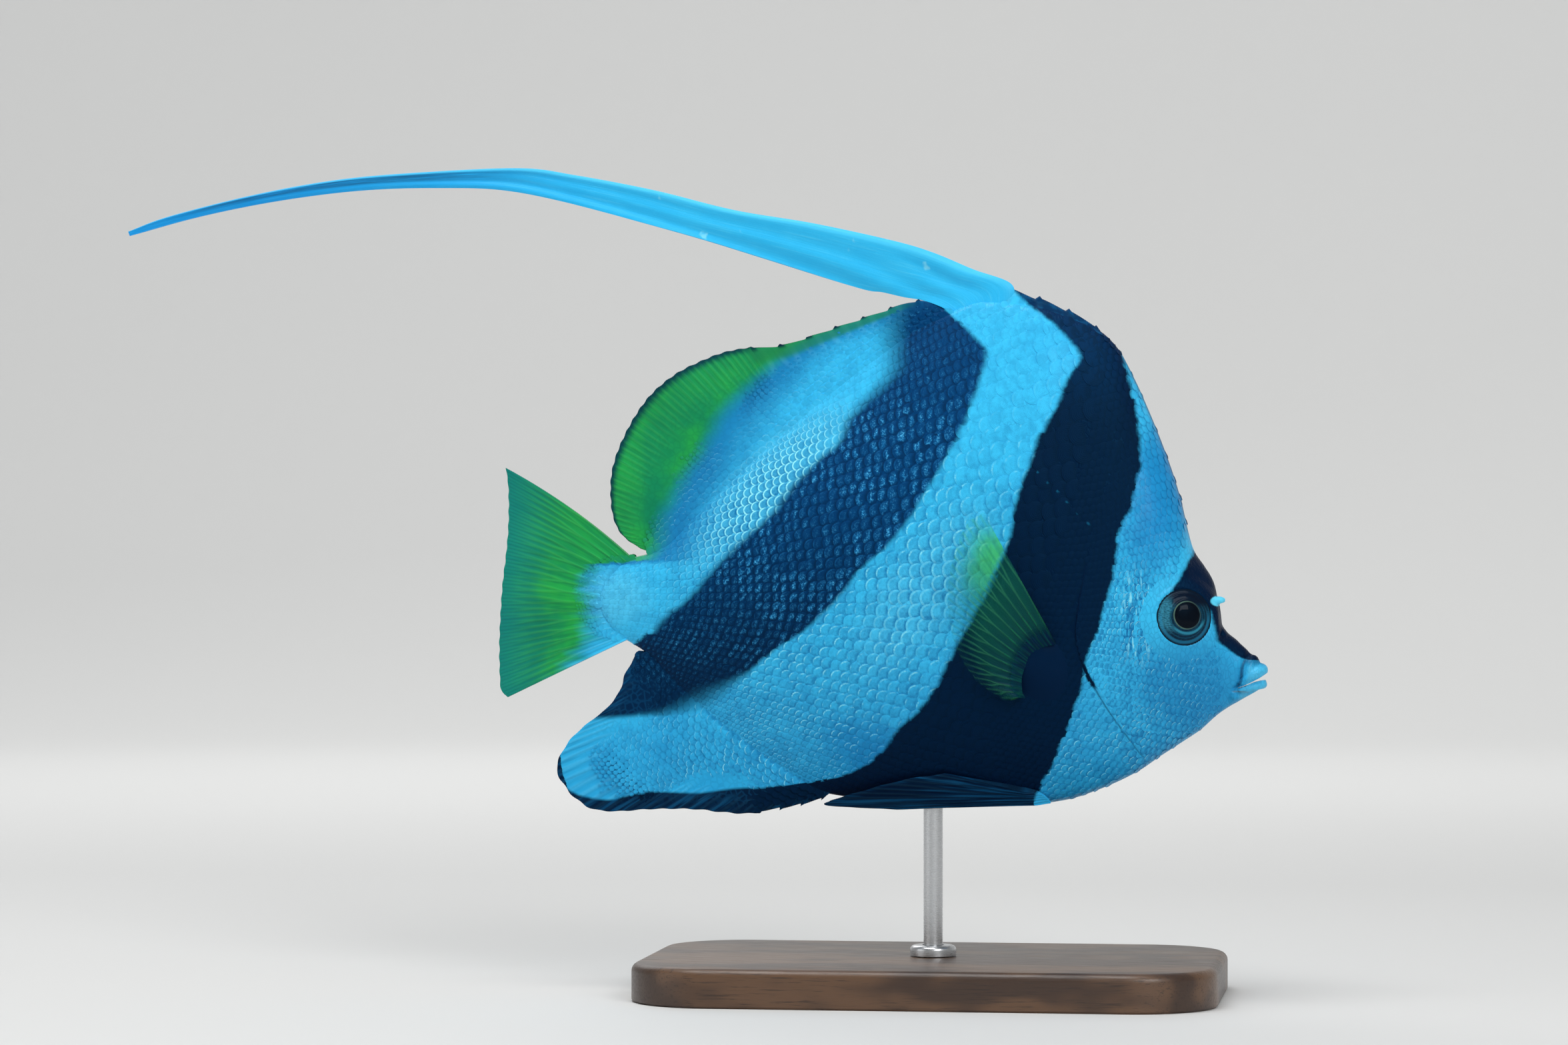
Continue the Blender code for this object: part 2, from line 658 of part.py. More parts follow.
# Share of the way across from the spine's edge, half thickness there at the root and at the tip
BANNER_PROFILE = (
    (0.0, 0.55, 0.28), (0.1, 1.05, 0.42), (0.24, 0.75, 0.34), (0.5, 0.5, 0.3), (0.78, 0.4, 0.28),
    (1.0, 0.3, 0.26),
)


def banner_sway(t):
    """The banner trails in a lazy curve to one side and back."""
    return BANNER_SWAY * math.sin(math.pi * 1.25 * t) * t


def add_banner(clearance):
    """The long fourth spine with its blade of skin, in three lengths."""
    top, bottom = path_of(BANNER_TOP), path_of(BANNER_BOTTOM)
    names = ("fin_banner_root", "fin_banner_middle", "fin_banner_tip")
    total = np.linalg.norm(top(0) - top(1)) * 1.05
    for name, start, end, rows in zip(names, BANNER_CUTS, BANNER_CUTS[1:], BANNER_ROWS):
        half_gap = GAP / MM / 2 / total
        low = start + (half_gap if start else -0.012)
        high = end - (half_gap if end < 1 else 0)
        grid, halves = [], []
        for share, root_half, tip_half in BANNER_PROFILE:
            line, half = [], []
            for t in np.linspace(low, high, rows):
                inside = max(t, 0)
                upper, lower = top(inside), bottom(inside)
                spot = upper + (lower - upper) * share
                if t < 0:
                    spot = spot + (top(0) - top(0.01)) * -t / 0.01
                line.append((spot[0], banner_sway(inside), spot[1]))
                half.append(root_half + (tip_half - root_half) * inside**0.7)
            grid.append(line)
            halves.append(half)
        mesh = sheet_mesh(name, grid, halves)
        add_fin(name, mesh, finish_of("banner", (0.55, 0.78, 0.88), 0.42), clearance)


def add_dorsal_rear(clearance):
    """The spiny fin behind the banner, whose membrane is notched between the spine tips."""
    base = [(0.6, 129.4), (-10.0, 122.4), (-22.0, 113.6), (-34.2, 104.0)]
    edge = [(0.2, 133.6), (-4.6, 134.8), (-10.6, 132.8), (-17.4, 130.6), (-26.9, 127.4), (-34.6, 124.8),
            (-40.2, 123.2), (-47.6, 122.6)]
    mesh = rayed_sheet("fin_dorsal_spiny", base, edge, 8, 7, 1.5, scallop=1.7)
    add_fin("fin_dorsal_spiny", mesh, pale_skin(), clearance)


def add_dorsal_soft(clearance):
    base = [(-34.5, 103.8), (-52.3, 88.1), (-63.0, 77.6), (-69.8, 71.2), (-74.4, 68.8)]
    edge = [(-48.0, 122.4), (-55.0, 121.2), (-61.3, 118.8), (-67.7, 115.5), (-74.0, 110.5), (-78.6, 104.7),
            (-82.2, 97.8), (-84.3, 91.5), (-85.0, 86.1), (-84.8, 79.8), (-83.4, 75.2), (-80.9, 72.2),
            (-77.2, 69.9)]
    mesh = rayed_sheet("fin_dorsal_soft", base, edge, 23, 7, 1.45, scallop=0.35)
    add_fin("fin_dorsal_soft", mesh, yellow_fin(), clearance)


def add_tail_fin(clearance):
    base = [(-79.6, 67.6), (-83.4, 65.4), (-86.6, 61.4), (-88.3, 56.3), (-86.8, 51.2), (-84.3, 47.8),
            (-81.2, 45.6)]
    edge = [(-113.4, 91.0), (-112.8, 85.6), (-112.8, 76.1), (-113.3, 68.6), (-114.2, 60.4), (-114.8, 52.6),
            (-115.2, 45.6), (-115.2, 38.6), (-114.7, 32.5), (-112.8, 30.6)]

    def root(s):
        spot = path_of(base)(s)
        return max(side_at(max(spot[0], -87.5), spot[1]) * 0.9, 0.7)

    mesh = rayed_sheet("fin_tail", base, edge, 17, 8, root, scallop=0.5, sway=tail_sway, bow=1.3)
    add_fin("fin_tail", mesh, yellow_fin(), clearance)


def tail_sway(s, t):
    """The tail fin curls a little towards the far side, with a soft ripple between its lobes."""
    return 2.2 * t * t + 0.5 * t * math.sin(3 * math.pi * s)


def add_anal_fin(clearance):
    base = [(-27.4, 5.9), (-34.0, 8.8), (-42.0, 13.5), (-56.0, 23.4), (-66.6, 33.4), (-75.6, 42.8)]
    edge = [(-29.4, 4.2), (-37.0, 2.1), (-47.1, 0.6), (-53.9, 0.7), (-63.4, 1.6), (-74.2, 1.5),
            (-84.3, 0.8), (-90.6, 1.6), (-95.5, 5.0), (-98.8, 9.6), (-99.4, 13.2), (-96.6, 18.6),
            (-92.4, 22.9), (-86.4, 27.6), (-82.9, 32.0), (-81.2, 37.0), (-78.6, 41.6)]
    mesh = rayed_sheet("fin_anal", base, edge, 21, 8, 1.35, scallop=0.4)
    add_fin("fin_anal", mesh, pale_skin(), clearance)


def add_pectoral_fins(clearance):
    """A fleshy, rounded root on the flank, from which the rays fan up and back, clear of the body."""
    base = [(32.2, 47.7), (27.6, 46.2), (24.3, 42.6), (22.4, 38.2), (22.3, 33.8), (23.4, 31.6)]
    edge = [(15.8, 79.2), (11.4, 76.2), (7.6, 67.0), (6.2, 57.0), (7.2, 48.0), (10.0, 40.8), (14.2, 35.4),
            (20.4, 31.2)]
    root_out, tip_out = 16.9, 27.0
    for side, name in ((-1, "fin_pectoral_right"), (1, "fin_pectoral_left")):
        base_3d = [(x, side * root_out, z) for x, z in base]
        edge_3d = [(x, side * (root_out + (tip_out - root_out) * math.dist((x, z), (27, 40)) / 40), z)
                   for x, z in edge]
        mesh = rayed_sheet(name, base_3d, edge_3d, 14, 7, 0.8, scallop=0.3, ridge=0.22)
        fin = add_object(name, mesh, yellow_fin())
        pad = add_object("pad", pectoral_pad(side))
        union_of(fin, [pad])
        boolean(fin, "DIFFERENCE", clearance)
        keep_largest_piece(fin)
        smooth(fin, 50)


def pectoral_pad(side, steps=18, rings=6):
    """The muscular root of the fin: a flattened cushion that lies on the shoulder."""
    centre = Vector((28.9, side * 15.7, 39.8))
    reach_x, reach_y, reach_z, lean = 7.4, 2.0, 9.6, math.radians(-24)
    points = [Vector((0, 0, reach_z))]
    for r in range(1, rings):
        polar = math.pi * r / rings
        for k in range(steps):
            turn = 2 * math.pi * k / steps
            points.append(Vector((reach_x * math.sin(polar) * math.cos(turn),
                                  reach_y * math.sin(polar) * math.sin(turn), reach_z * math.cos(polar))))
    points.append(Vector((0, 0, -reach_z)))
    faces, last = [], len(points) - 1
    for k in range(steps):
        near, far = 1 + k, 1 + (k + 1) % steps
        faces.append((0, near, far))
        for r in range(rings - 2):
            faces.append((near + r * steps, near + (r + 1) * steps, far + (r + 1) * steps, far + r * steps))
        bottom = (rings - 2) * steps
        faces.append((last, far + bottom, near + bottom))
    tilt = Matrix.Rotation(lean, 3, "Y")
    mesh = mesh_from("pad", [place(*(centre + tilt @ p)) for p in points], faces)
    outward(mesh)
    return mesh


def add_pelvic_fins(clearance):
    """Dark, narrow fins that trail along the belly, one on each side of the rod."""
    root = [(27.0, 4.6, 4.2), (25.6, 5.8, 6.0), (23.6, 7.2, 8.0)]
    margin = [(-9.0, 4.3, 2.2), (-27.4, 4.9, 3.2), (-24.0, 6.0, 5.2), (-15.0, 7.6, 8.0),
              (-6.0, 8.8, 10.4), (4.0, 9.6, 12.0)]
    for side, name in ((-1, "fin_pelvic_right"), (1, "fin_pelvic_left")):
        base = [(x, side * y, z) for x, y, z in root]
        edge = [(x, side * y, z) for x, y, z in margin]
        mesh = rayed_sheet(name, base, edge, 7, 8, 0.9, scallop=0.5, ridge=0.24, sunk=4.0)
        add_fin(name, mesh, dark_fin(), clearance)


def rounded_slab(name, length, width, height, corner, bevel):
    """A flat slab with round corners and softened edges, standing on the floor."""
    bm = bmesh.new()
    outline = []
    for cx, cy, first in ((1, 1, 0), (-1, 1, 90), (-1, -1, 180), (1, -1, 270)):
        for turn in range(0, 91, 15):
            a = math.radians(first + turn)
            x = cx * (length / 2 - corner) + corner * math.cos(a)
            y = cy * (width / 2 - corner) + corner * math.sin(a)
            outline.append((x, y))
    face = bm.faces.new([bm.verts.new((x, y, 0)) for x, y in outline])
    lifted = bmesh.ops.extrude_face_region(bm, geom=[face])
    tops = [g for g in lifted["geom"] if isinstance(g, bmesh.types.BMVert)]
    bmesh.ops.translate(bm, verts=tops, vec=(0, 0, height))
    bmesh.ops.recalc_face_normals(bm, faces=bm.faces)
    top_edges = [e for e in bm.edges if all(v.co.z > height * 0.9 for v in e.verts)]
    bmesh.ops.bevel(bm, geom=top_edges, offset=bevel, segments=2, profile=0.5, affect="EDGES")
    mesh = bpy.data.meshes.new(name)
    bm.to_mesh(mesh)
    bm.free()
    return mesh


def add_stand(trunk):
    """A flat base, a collar and one rod that ends in a socket in the belly, between the pelvic fins."""
    wood = finish_of("stand wood", (0.09, 0.05, 0.03), 0.4)
    steel = finish_of("stand steel", (0.6, 0.6, 0.62), 0.3, 1.0)
    base = add_object("stand_base", rounded_slab("stand_base", BASE_LENGTH, BASE_WIDTH, BASE_HEIGHT,
                                                 BASE_CORNER, BASE_BEVEL), wood)
    gap = GAP / MM
    belly_z = belly(0) + FISH_LIFT / MM
    rod_top = belly_z + ROD_IN_BELLY / MM
    rod_foot = (BASE_HEIGHT - ROD_SUNK) / MM
    radius = ROD_RADIUS / MM
    between = (belly_z + rod_foot) / 2
    hole = drill("base_hole", radius + gap, rod_foot - gap, between)
    boolean(base, "DIFFERENCE", hole)
    socket = drill("belly_socket", radius + gap, between, rod_top + gap)
    boolean(trunk, "DIFFERENCE", socket)
    for cutter in (hole, socket):
        bpy.data.objects.remove(cutter)
    rod_profile = [(0, rod_top), (radius, rod_top), (radius, rod_foot), (0, rod_foot)]
    rod = add_object("stand_rod", turned("stand_rod", rod_profile, steps=20), steel)
    collar_low, collar_high = BASE_HEIGHT / MM + gap, (BASE_HEIGHT + COLLAR_HEIGHT) / MM
    outer, inner = COLLAR_RADIUS / MM, radius + gap
    ring = collar_mesh("stand_collar", inner, outer, collar_low, collar_high)
    collar = add_object("stand_collar", ring, steel)
    for obj in (rod, collar):
        smooth(obj)


def drill(name, radius, low, high):
    """A round cutter on the rod's axis, between two heights in millimetres."""
    profile = [(0, high), (radius, high), (radius, low), (0, low)]
    return add_object(name, turned(name, profile, steps=20), helper=True)


def collar_mesh(name, inner, outer, low, high, steps=24, chamfer=0.8):
    """A ring round the rod with a chamfered top edge."""
    profile = [(inner, low), (outer, low), (outer, high - chamfer), (outer - chamfer, high), (inner, high)]
    points, faces, count = [], [], len(profile)
    for k in range(steps):
        turn = 2 * math.pi * k / steps
        points += [Vector((r * math.cos(turn), r * math.sin(turn), h)) * MM for r, h in profile]
    for k in range(steps):
        for m in range(count):
            a, b = k * count + m, k * count + (m + 1) % count
            c, d = (k + 1) % steps * count + (m + 1) % count, (k + 1) % steps * count + m
            faces.append((a, b, c, d))
    mesh = mesh_from(name, points, faces)
    outward(mesh)
    return mesh


def main():
    clear_scene()
    clearance = add_object("clearance", body_mesh("clearance", grown=GAP / MM), helper=True)
    head, trunk, tail = divide_body()
    shape_head(head)
    add_eyes()
    add_dorsal_front(clearance)
    add_banner(clearance)
    add_dorsal_rear(clearance)
    add_dorsal_soft(clearance)
    add_tail_fin(clearance)
    add_anal_fin(clearance)
    add_pectoral_fins(clearance)
    add_pelvic_fins(clearance)
    add_stand(trunk)
    bpy.data.objects.remove(clearance)
    for part in (head, trunk, tail):
        smooth(part, 40)


main()
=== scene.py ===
"""The looks of a life-size bannerfish, held by one steel rod over a dark wooden base.

The fish swims towards +X and its near flank faces -Y. Outlines are in millimetres of its own side
view, x along the fish and z above the lowest point of its fins, and place() turns them to metres.
"""

import math

import bmesh
import bpy
import numpy as np
from mathutils import Matrix, Vector


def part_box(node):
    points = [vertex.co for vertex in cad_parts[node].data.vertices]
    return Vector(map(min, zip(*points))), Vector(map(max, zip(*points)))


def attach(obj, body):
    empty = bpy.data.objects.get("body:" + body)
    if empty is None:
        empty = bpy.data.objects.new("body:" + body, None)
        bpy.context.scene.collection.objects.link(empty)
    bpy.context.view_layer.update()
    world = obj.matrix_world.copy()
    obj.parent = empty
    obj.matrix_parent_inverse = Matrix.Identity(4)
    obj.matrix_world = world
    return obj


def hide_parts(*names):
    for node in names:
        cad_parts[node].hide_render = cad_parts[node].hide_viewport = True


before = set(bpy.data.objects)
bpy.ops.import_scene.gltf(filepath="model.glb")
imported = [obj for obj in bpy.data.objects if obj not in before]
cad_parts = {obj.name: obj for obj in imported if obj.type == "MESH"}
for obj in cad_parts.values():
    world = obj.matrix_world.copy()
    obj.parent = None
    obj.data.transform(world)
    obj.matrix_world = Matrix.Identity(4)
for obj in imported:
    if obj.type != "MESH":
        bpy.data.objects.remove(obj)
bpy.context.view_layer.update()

# One millimetre, the fish's lift above the floor, the depth of its skin under the scales, and its caps
MM = 0.001
FISH_LIFT = 46.0
COAT_DEPTH = 0.14
END_CAP = 0.35

# Side outline of the body without its fins, snout to tail
BACK_LINE = (
    (86.0, 38.6), (84.6, 40.6), (82.3, 43.0), (78.7, 46.3), (75.2, 49.7), (74.2, 53.3), (73.7, 57.6),
    (72.9, 61.0), (70.6, 65.0), (67.6, 69.6), (66.3, 74.0), (64.6, 81.5), (62.2, 89.5), (59.1, 98.0),
    (56.0, 105.6), (52.4, 113.6), (48.0, 121.6), (43.3, 126.0), (35.0, 129.6), (27.8, 132.0),
    (13.9, 133.6), (0.0, 128.9), (-17.4, 117.6), (-34.9, 103.7), (-52.5, 88.1), (-63.1, 77.6),
    (-70.1, 70.6), (-75.4, 68.2), (-79.0, 67.4), (-83.0, 65.2), (-86.0, 61.8), (-88.0, 57.8),
)
BELLY_LINE = (
    (86.0, 34.6), (83.7, 33.1), (79.4, 30.8), (74.2, 27.5), (69.1, 23.0), (64.0, 19.6), (58.8, 16.2),
    (53.6, 12.6), (43.3, 7.7), (34.7, 4.9), (24.3, 3.6), (8.7, 3.7), (-8.7, 4.1), (-27.9, 6.4),
    (-42.0, 13.5), (-56.0, 23.4), (-66.6, 33.4), (-75.4, 42.6), (-79.9, 45.4), (-84.0, 47.8),
    (-86.4, 50.9), (-88.0, 54.8),
)
HALF_WIDTH = (
    (86.0, 1.7), (84.0, 2.7), (80.0, 3.7), (76.0, 4.8), (72.0, 6.7), (68.0, 8.7), (62.0, 10.6),
    (55.0, 12.2), (45.0, 14.2), (35.0, 15.4), (22.0, 16.2), (8.0, 16.0), (-8.0, 14.9), (-25.0, 12.5),
    (-42.0, 9.5), (-58.0, 6.7), (-70.0, 4.8), (-78.0, 3.7), (-84.0, 2.7), (-88.0, 1.9),
)
WIDEST_LINE = (
    (86.0, 36.6), (80.0, 38.0), (72.0, 45.0), (62.0, 50.0), (50.0, 52.0), (35.0, 55.0), (10.0, 60.0),
    (-20.0, 61.0), (-45.0, 60.0), (-70.0, 57.0), (-88.0, 56.3),
)
BACK_EDGE = (
    (86.0, 0.4), (50.0, 0.5), (43.0, 0.9), (30.0, 1.6), (0.0, 1.8), (-35.0, 1.7), (-60.0, 1.4),
    (-72.0, 0.9), (-80.0, 0.6), (-88.0, 0.6),
)
BELLY_EDGE = (
    (86.0, 0.4), (10.0, 0.5), (-20.0, 0.9), (-34.0, 1.5), (-60.0, 1.4), (-74.0, 0.9), (-80.0, 0.6),
    (-88.0, 0.6),
)
BACK_WEDGE = (
    (86.0, 0.5), (60.0, 0.52), (48.0, 0.62), (20.0, 0.9), (-50.0, 1.05), (-74.0, 0.7), (-88.0, 0.5),
)
BELLY_WEDGE = (
    (86.0, 0.5), (40.0, 0.52), (0.0, 0.58), (-25.0, 0.8), (-60.0, 1.1), (-76.0, 0.7), (-88.0, 0.5),
)

# Gill cover: its free edge, how proud it stands, and the ridge of the bone in front of it
GILL_EDGE = (
    (58.0, 116.0), (53.0, 104.0), (47.5, 90.0), (43.6, 78.0), (41.2, 67.0), (39.2, 56.0),
    (38.3, 48.5), (39.6, 41.8), (42.6, 35.2), (46.2, 28.8), (49.8, 23.5), (53.4, 18.2), (58.5, 11.0),
)
GILL_STEP, GILL_STEP_REACH, GILL_LIP = 0.55, 11.0, 0.3
GILL_MIDDLE, GILL_PULL = 44.0, 30.0
CHEEK_RIDGE = ((53.2, 54.0), (52.6, 40.0), (52.7, 27.0), (54.7, 23.1), (62.6, 22.2), (70.6, 23.6))

# Head
EYE_X, EYE_Z, EYE_RADIUS, EYE_DOME = 65.6, 52.3, 7.2, 1.7
EYE_SPAN = 2 * (EYE_RADIUS + 0.2)
PUPIL_AHEAD, PUPIL_UP, PUPIL_RADIUS = 0.45, 0.55, 3.4
BROW = ((72.0, 56.4), (73.8, 56.6), (75.5, 56.5))
NOSTRILS = ((75.1, 48.0, 0.5), (73.6, 49.2, 0.42))
JAW_CREASE = ((82.4, 43.4), (81.0, 41.2), (80.1, 38.8), (80.0, 36.4), (79.4, 34.9), (78.2, 33.7))
CHIN_CREASE = ((78.4, 32.5), (81.5, 32.9), (84.4, 33.7))

# Fin outlines, base line first and free edge second
FRONT_SPINES = (
    ((44.2, 125.0), (38.0, 127.6), (30.0, 130.6), (18.8, 132.2)),
    ((42.4, 127.6), (38.6, 130.2), (31.0, 134.0), (20.0, 138.0)),
)
REAR_SPINES = (
    ((4.4, 130.8), (-8.0, 123.8), (-22.0, 113.6), (-34.4, 103.9)),
    ((3.4, 132.6), (-1.6, 134.4), (-6.2, 134.4), (-11.6, 132.6), (-17.4, 130.6), (-26.9, 127.4),
     (-34.6, 124.8), (-40.2, 123.2), (-47.8, 122.5)),
)
SOFT_DORSAL = (
    ((-34.4, 103.9), (-52.3, 88.1), (-63.0, 77.6), (-69.8, 71.2), (-74.4, 68.8)),
    ((-47.8, 122.5), (-55.0, 121.2), (-61.3, 118.8), (-67.7, 115.5), (-74.0, 110.5), (-78.6, 104.7),
     (-82.2, 97.8), (-84.3, 91.5), (-85.0, 86.1), (-84.8, 79.8), (-83.4, 75.2), (-80.9, 72.2),
     (-77.2, 69.9)),
)
TAIL = (
    ((-79.6, 67.6), (-83.4, 65.4), (-86.6, 61.4), (-88.3, 56.3), (-86.8, 51.2), (-84.3, 47.8),
     (-81.2, 45.6)),
    ((-113.4, 91.0), (-112.8, 85.6), (-112.8, 76.1), (-113.3, 68.6), (-114.2, 60.4), (-114.8, 52.6),
     (-115.2, 45.6), (-115.2, 38.6), (-114.7, 32.5), (-112.8, 30.6)),
)
ANAL = (
    ((-27.4, 5.9), (-34.0, 8.8), (-42.0, 13.5), (-56.0, 23.4), (-66.6, 33.4), (-75.6, 42.8)),
    ((-29.4, 4.2), (-37.0, 2.1), (-47.1, 0.6), (-53.9, 0.7), (-63.4, 1.6), (-74.2, 1.5),
     (-84.3, 0.8), (-90.6, 1.6), (-95.5, 5.0), (-98.8, 9.6), (-99.4, 13.2), (-96.6, 18.6),
     (-92.4, 22.9), (-86.4, 27.6), (-82.9, 32.0), (-81.2, 37.0), (-78.6, 41.6)),
)
PECTORAL = (
    ((32.2, 47.7), (27.6, 46.2), (24.3, 42.6), (22.4, 38.2), (22.3, 33.8), (23.4, 31.6)),
    ((15.8, 79.2), (11.4, 76.2), (7.6, 67.0), (6.2, 57.0), (7.2, 48.0), (10.0, 40.8), (14.2, 35.4),
     (20.4, 31.2)),
)
PECTORAL_ROOT_OUT, PECTORAL_TIP_OUT = 16.9, 27.0
PELVIC = (
    ((27.0, 4.6, 4.2), (25.6, 5.8, 6.0), (23.6, 7.2, 8.0)),
    ((-9.0, 4.3, 2.2), (-27.4, 4.9, 3.2), (-24.0, 6.0, 5.2), (-15.0, 7.6, 8.0), (-6.0, 8.8, 10.4),
     (4.0, 9.6, 12.0)),
)
BANNER_TOP = (
    (20.6, 132.6), (20.4, 138.4), (10.4, 142.3), (0.0, 146.7), (-10.5, 149.9), (-31.4, 154.6),
    (-52.5, 158.3), (-73.7, 163.7), (-94.9, 167.9), (-110.0, 169.9), (-137.8, 168.9), (-159.3, 167.0),
    (-181.0, 163.1), (-202.7, 157.6), (-213.6, 153.6),
)
BANNER_BOTTOM = (
    (5.4, 130.2), (2.6, 132.2), (-2.4, 134.2), (-7.6, 135.2), (-13.4, 136.6), (-20.1, 137.8), (-43.7, 145.3),
    (-59.6, 150.3), (-75.4, 154.8), (-99.4, 161.3), (-115.4, 164.3), (-131.5, 164.9), (-147.6, 164.6),
    (-163.8, 163.1), (-180.1, 160.6), (-196.4, 157.1), (-213.2, 152.4),
)
BANNER_SWAY = 7.0

# Markings as (height, x): where each edge of a band lies
FRONT_BAND_AHEAD = (
    (-6, 22), (5, 26.8), (16, 32.6), (29, 37.9), (36, 40.3), (42, 41.2), (49, 43.9), (57, 46.1),
    (63, 47.8), (71, 48.7), (76, 49.8), (80, 52.1), (87, 53.6), (92, 54.5), (99, 54.1), (107, 52.6),
    (116, 50.5), (124, 48), (132, 46), (142, 44),
)
FRONT_BAND_BEHIND = (
    (-6, -110), (7.8, -38.8), (10, -27), (12, -20.5), (16.6, -13.3), (22, -9.1), (30, -0.9), (40, 5),
    (47, 8.6), (52, 12), (63, 17.7), (72, 21.3), (84, 23.4), (92, 26.6), (99, 28.8), (107, 33.1),
    (114, 35.8), (119.5, 38.6), (123, 36.4), (129, 30.4), (133, 24.8), (137, 20.6), (142, 15),
)
REAR_BAND_AHEAD = (
    (-6, -115), (22, -105), (25, -89), (26.1, -75), (27.5, -66), (30, -59.4), (34.3, -52.4),
    (39.4, -44.9), (44, -39.7), (48, -33.4), (57, -23.5), (64, -17.8), (71, -10), (80, -3), (89, 2.3),
    (97, 7), (106, 10.8), (114, 13.2), (119.5, 14.7), (124, 11.6), (130, 5.4), (136, 0.1), (142, -3),
)
REAR_BAND_BEHIND = (
    (-6, -118), (44, -116), (47.2, -74), (51.3, -70.4), (56, -64.6), (66, -55.5), (72, -49.4),
    (78, -42.2), (86, -36.1), (93, -28.9), (97.5, -23.5), (103.6, -21.3), (110.4, -15),
    (117.5, -10.3), (126.6, -11.2), (132, -10), (142, -16),
)
FACE_DARK = (
    (-6, 115), (40.2, 100), (41.4, 80.8), (42.6, 78.6), (44, 76.8), (46, 74.2), (48.6, 73.6), (51, 73),
    (55, 71.4), (57.4, 64), (58.7, 62.3), (62, 64.3), (66, 66.2), (69.3, 67.6), (73, 67.4), (78, 66.6),
    (82, 100), (142, 115),
)
YELLOW_DORSAL = (
    (-6, -118), (64, -110), (66.5, -75), (69, -72.8), (75, -71.6), (84.5, -67.7), (95, -61.3),
    (106, -54.3), (112, -48.8), (118, -42.5), (122.5, -36), (127, -26), (132, -14), (142, 0),
)
YELLOW_TAIL = (
    (-6, -118), (28, -104), (36, -98), (42, -94), (47.6, -91.4), (53, -91.7), (59, -91.4), (65, -91),
    (68, -87), (71, -80), (95, -60), (142, 115),
)
# Markings as (x, height): the black lower margin, and the banner's lower edge above the rear band
BLACK_HEM = (
    (-120, 30), (-99.4, 20), (-98, 12.3), (-96.6, 6.8), (-94.5, 5.6), (-91, 4.6), (-85.5, 3.9), (-80, 5.2),
    (-74, 5.9), (-62, 6.1), (-55, 6.9), (-39, 7.8), (-25, 9), (24, 7), (26.6, 5), (29, -6), (115, -6),
)
BANNER_HEM = (
    (-120, 149), (-20, 137.2), (-13, 135.9), (-7, 134.9), (-2, 134.1), (2.4, 132.4), (5, 130.4),
    (115, 100),
)


def curve_of(points):
    """A function through the points (x, y) that keeps their rises and falls, with no overshoot."""
    pts = np.array(sorted(points), float)
    x, y = pts[:, 0], pts[:, 1]
    step, slope = np.diff(x), np.diff(y) / np.diff(x)
    tangent = np.zeros(len(x))
    tangent[0], tangent[-1] = slope[0], slope[-1]
    for i in range(1, len(x) - 1):
        if slope[i - 1] * slope[i] > 0:
            a, b = 2 * step[i] + step[i - 1], step[i] + 2 * step[i - 1]
            tangent[i] = (a + b) / (a / slope[i - 1] + b / slope[i])

    def value(at):
        at = np.clip(at, x[0], x[-1])
        i = np.clip(np.searchsorted(x, at) - 1, 0, len(step) - 1)
        t = (at - x[i]) / step[i]
        return (
            y[i] * (1 + 2 * t) * (1 - t) ** 2
            + step[i] * tangent[i] * t * (1 - t) ** 2
            + y[i + 1] * t * t * (3 - 2 * t)
            + step[i] * tangent[i + 1] * t * t * (t - 1)
        )

    return value


def arc_lengths(points):
    """Length from the start of a line, or of each line of a grid, to each of its points."""
    steps = np.linalg.norm(np.diff(points, axis=-2), axis=-1)
    return np.concatenate([np.zeros(steps.shape[:-1] + (1,)), np.cumsum(steps, -1)], -1)


def path_of(points):
    """A function of 0 to 1 that runs at even speed along a smooth line through the points."""
    pts = np.array(points, float)
    padded = np.vstack([2 * pts[0] - pts[1], pts, 2 * pts[-1] - pts[-2]])
    fine = []
    for i in range(1, len(padded) - 2):
        p0, p1, p2, p3 = padded[i - 1 : i + 3]
        for t in np.linspace(0, 1, 12, endpoint=False):
            fine.append(
                0.5 * (2 * p1 + (p2 - p0) * t + (2 * p0 - 5 * p1 + 4 * p2 - p3) * t**2
                       + (3 * p1 - p0 - 3 * p2 + p3) * t**3)
            )
    fine = np.array(fine + [pts[-1]])
    along = arc_lengths(fine)
    along /= along[-1]

    def value(s):
        return np.stack([np.interp(s, along, fine[:, k]) for k in range(fine.shape[1])], -1)

    return value


def ease(t):
    t = np.clip(t, 0.0, 1.0)
    return t * t * (3 - 2 * t)


def hump(distance, width):
    return np.exp(-((distance / width) ** 2))


def distance_to(line, x, z):
    """Distance of side view points to an open line, positive on the left of its direction."""
    best, signed = np.full(np.shape(x), np.inf), np.zeros(np.shape(x))
    fine = path_of(line)(np.linspace(0, 1, 40))
    for (ax, az), (bx, bz) in zip(fine, fine[1:]):
        dx, dz = bx - ax, bz - az
        t = np.clip(((x - ax) * dx + (z - az) * dz) / (dx * dx + dz * dz), 0, 1)
        far = np.hypot(x - ax - t * dx, z - az - t * dz)
        turn = np.sign(dx * (z - az) - dz * (x - ax))
        nearer = far < best
        best, signed = np.where(nearer, far, best), np.where(nearer, turn * far, signed)
    return signed


def unit(vectors):
    length = np.linalg.norm(vectors, axis=-1, keepdims=True)
    return vectors / np.maximum(length, 1e-9)


def metres(points):
    """Points of the fish's frame in millimetres, moved above the stand and turned to metres."""
    return (np.asarray(points, float) + (0.0, 0.0, FISH_LIFT)) * MM


back, belly = curve_of(BACK_LINE), curve_of(BELLY_LINE)
half_width, widest = curve_of(HALF_WIDTH), curve_of(WIDEST_LINE)
back_edge, belly_edge = curve_of(BACK_EDGE), curve_of(BELLY_EDGE)
back_wedge, belly_wedge = curve_of(BACK_WEDGE), curve_of(BELLY_WEDGE)
gill_x = curve_of([(z, x) for x, z in GILL_EDGE])


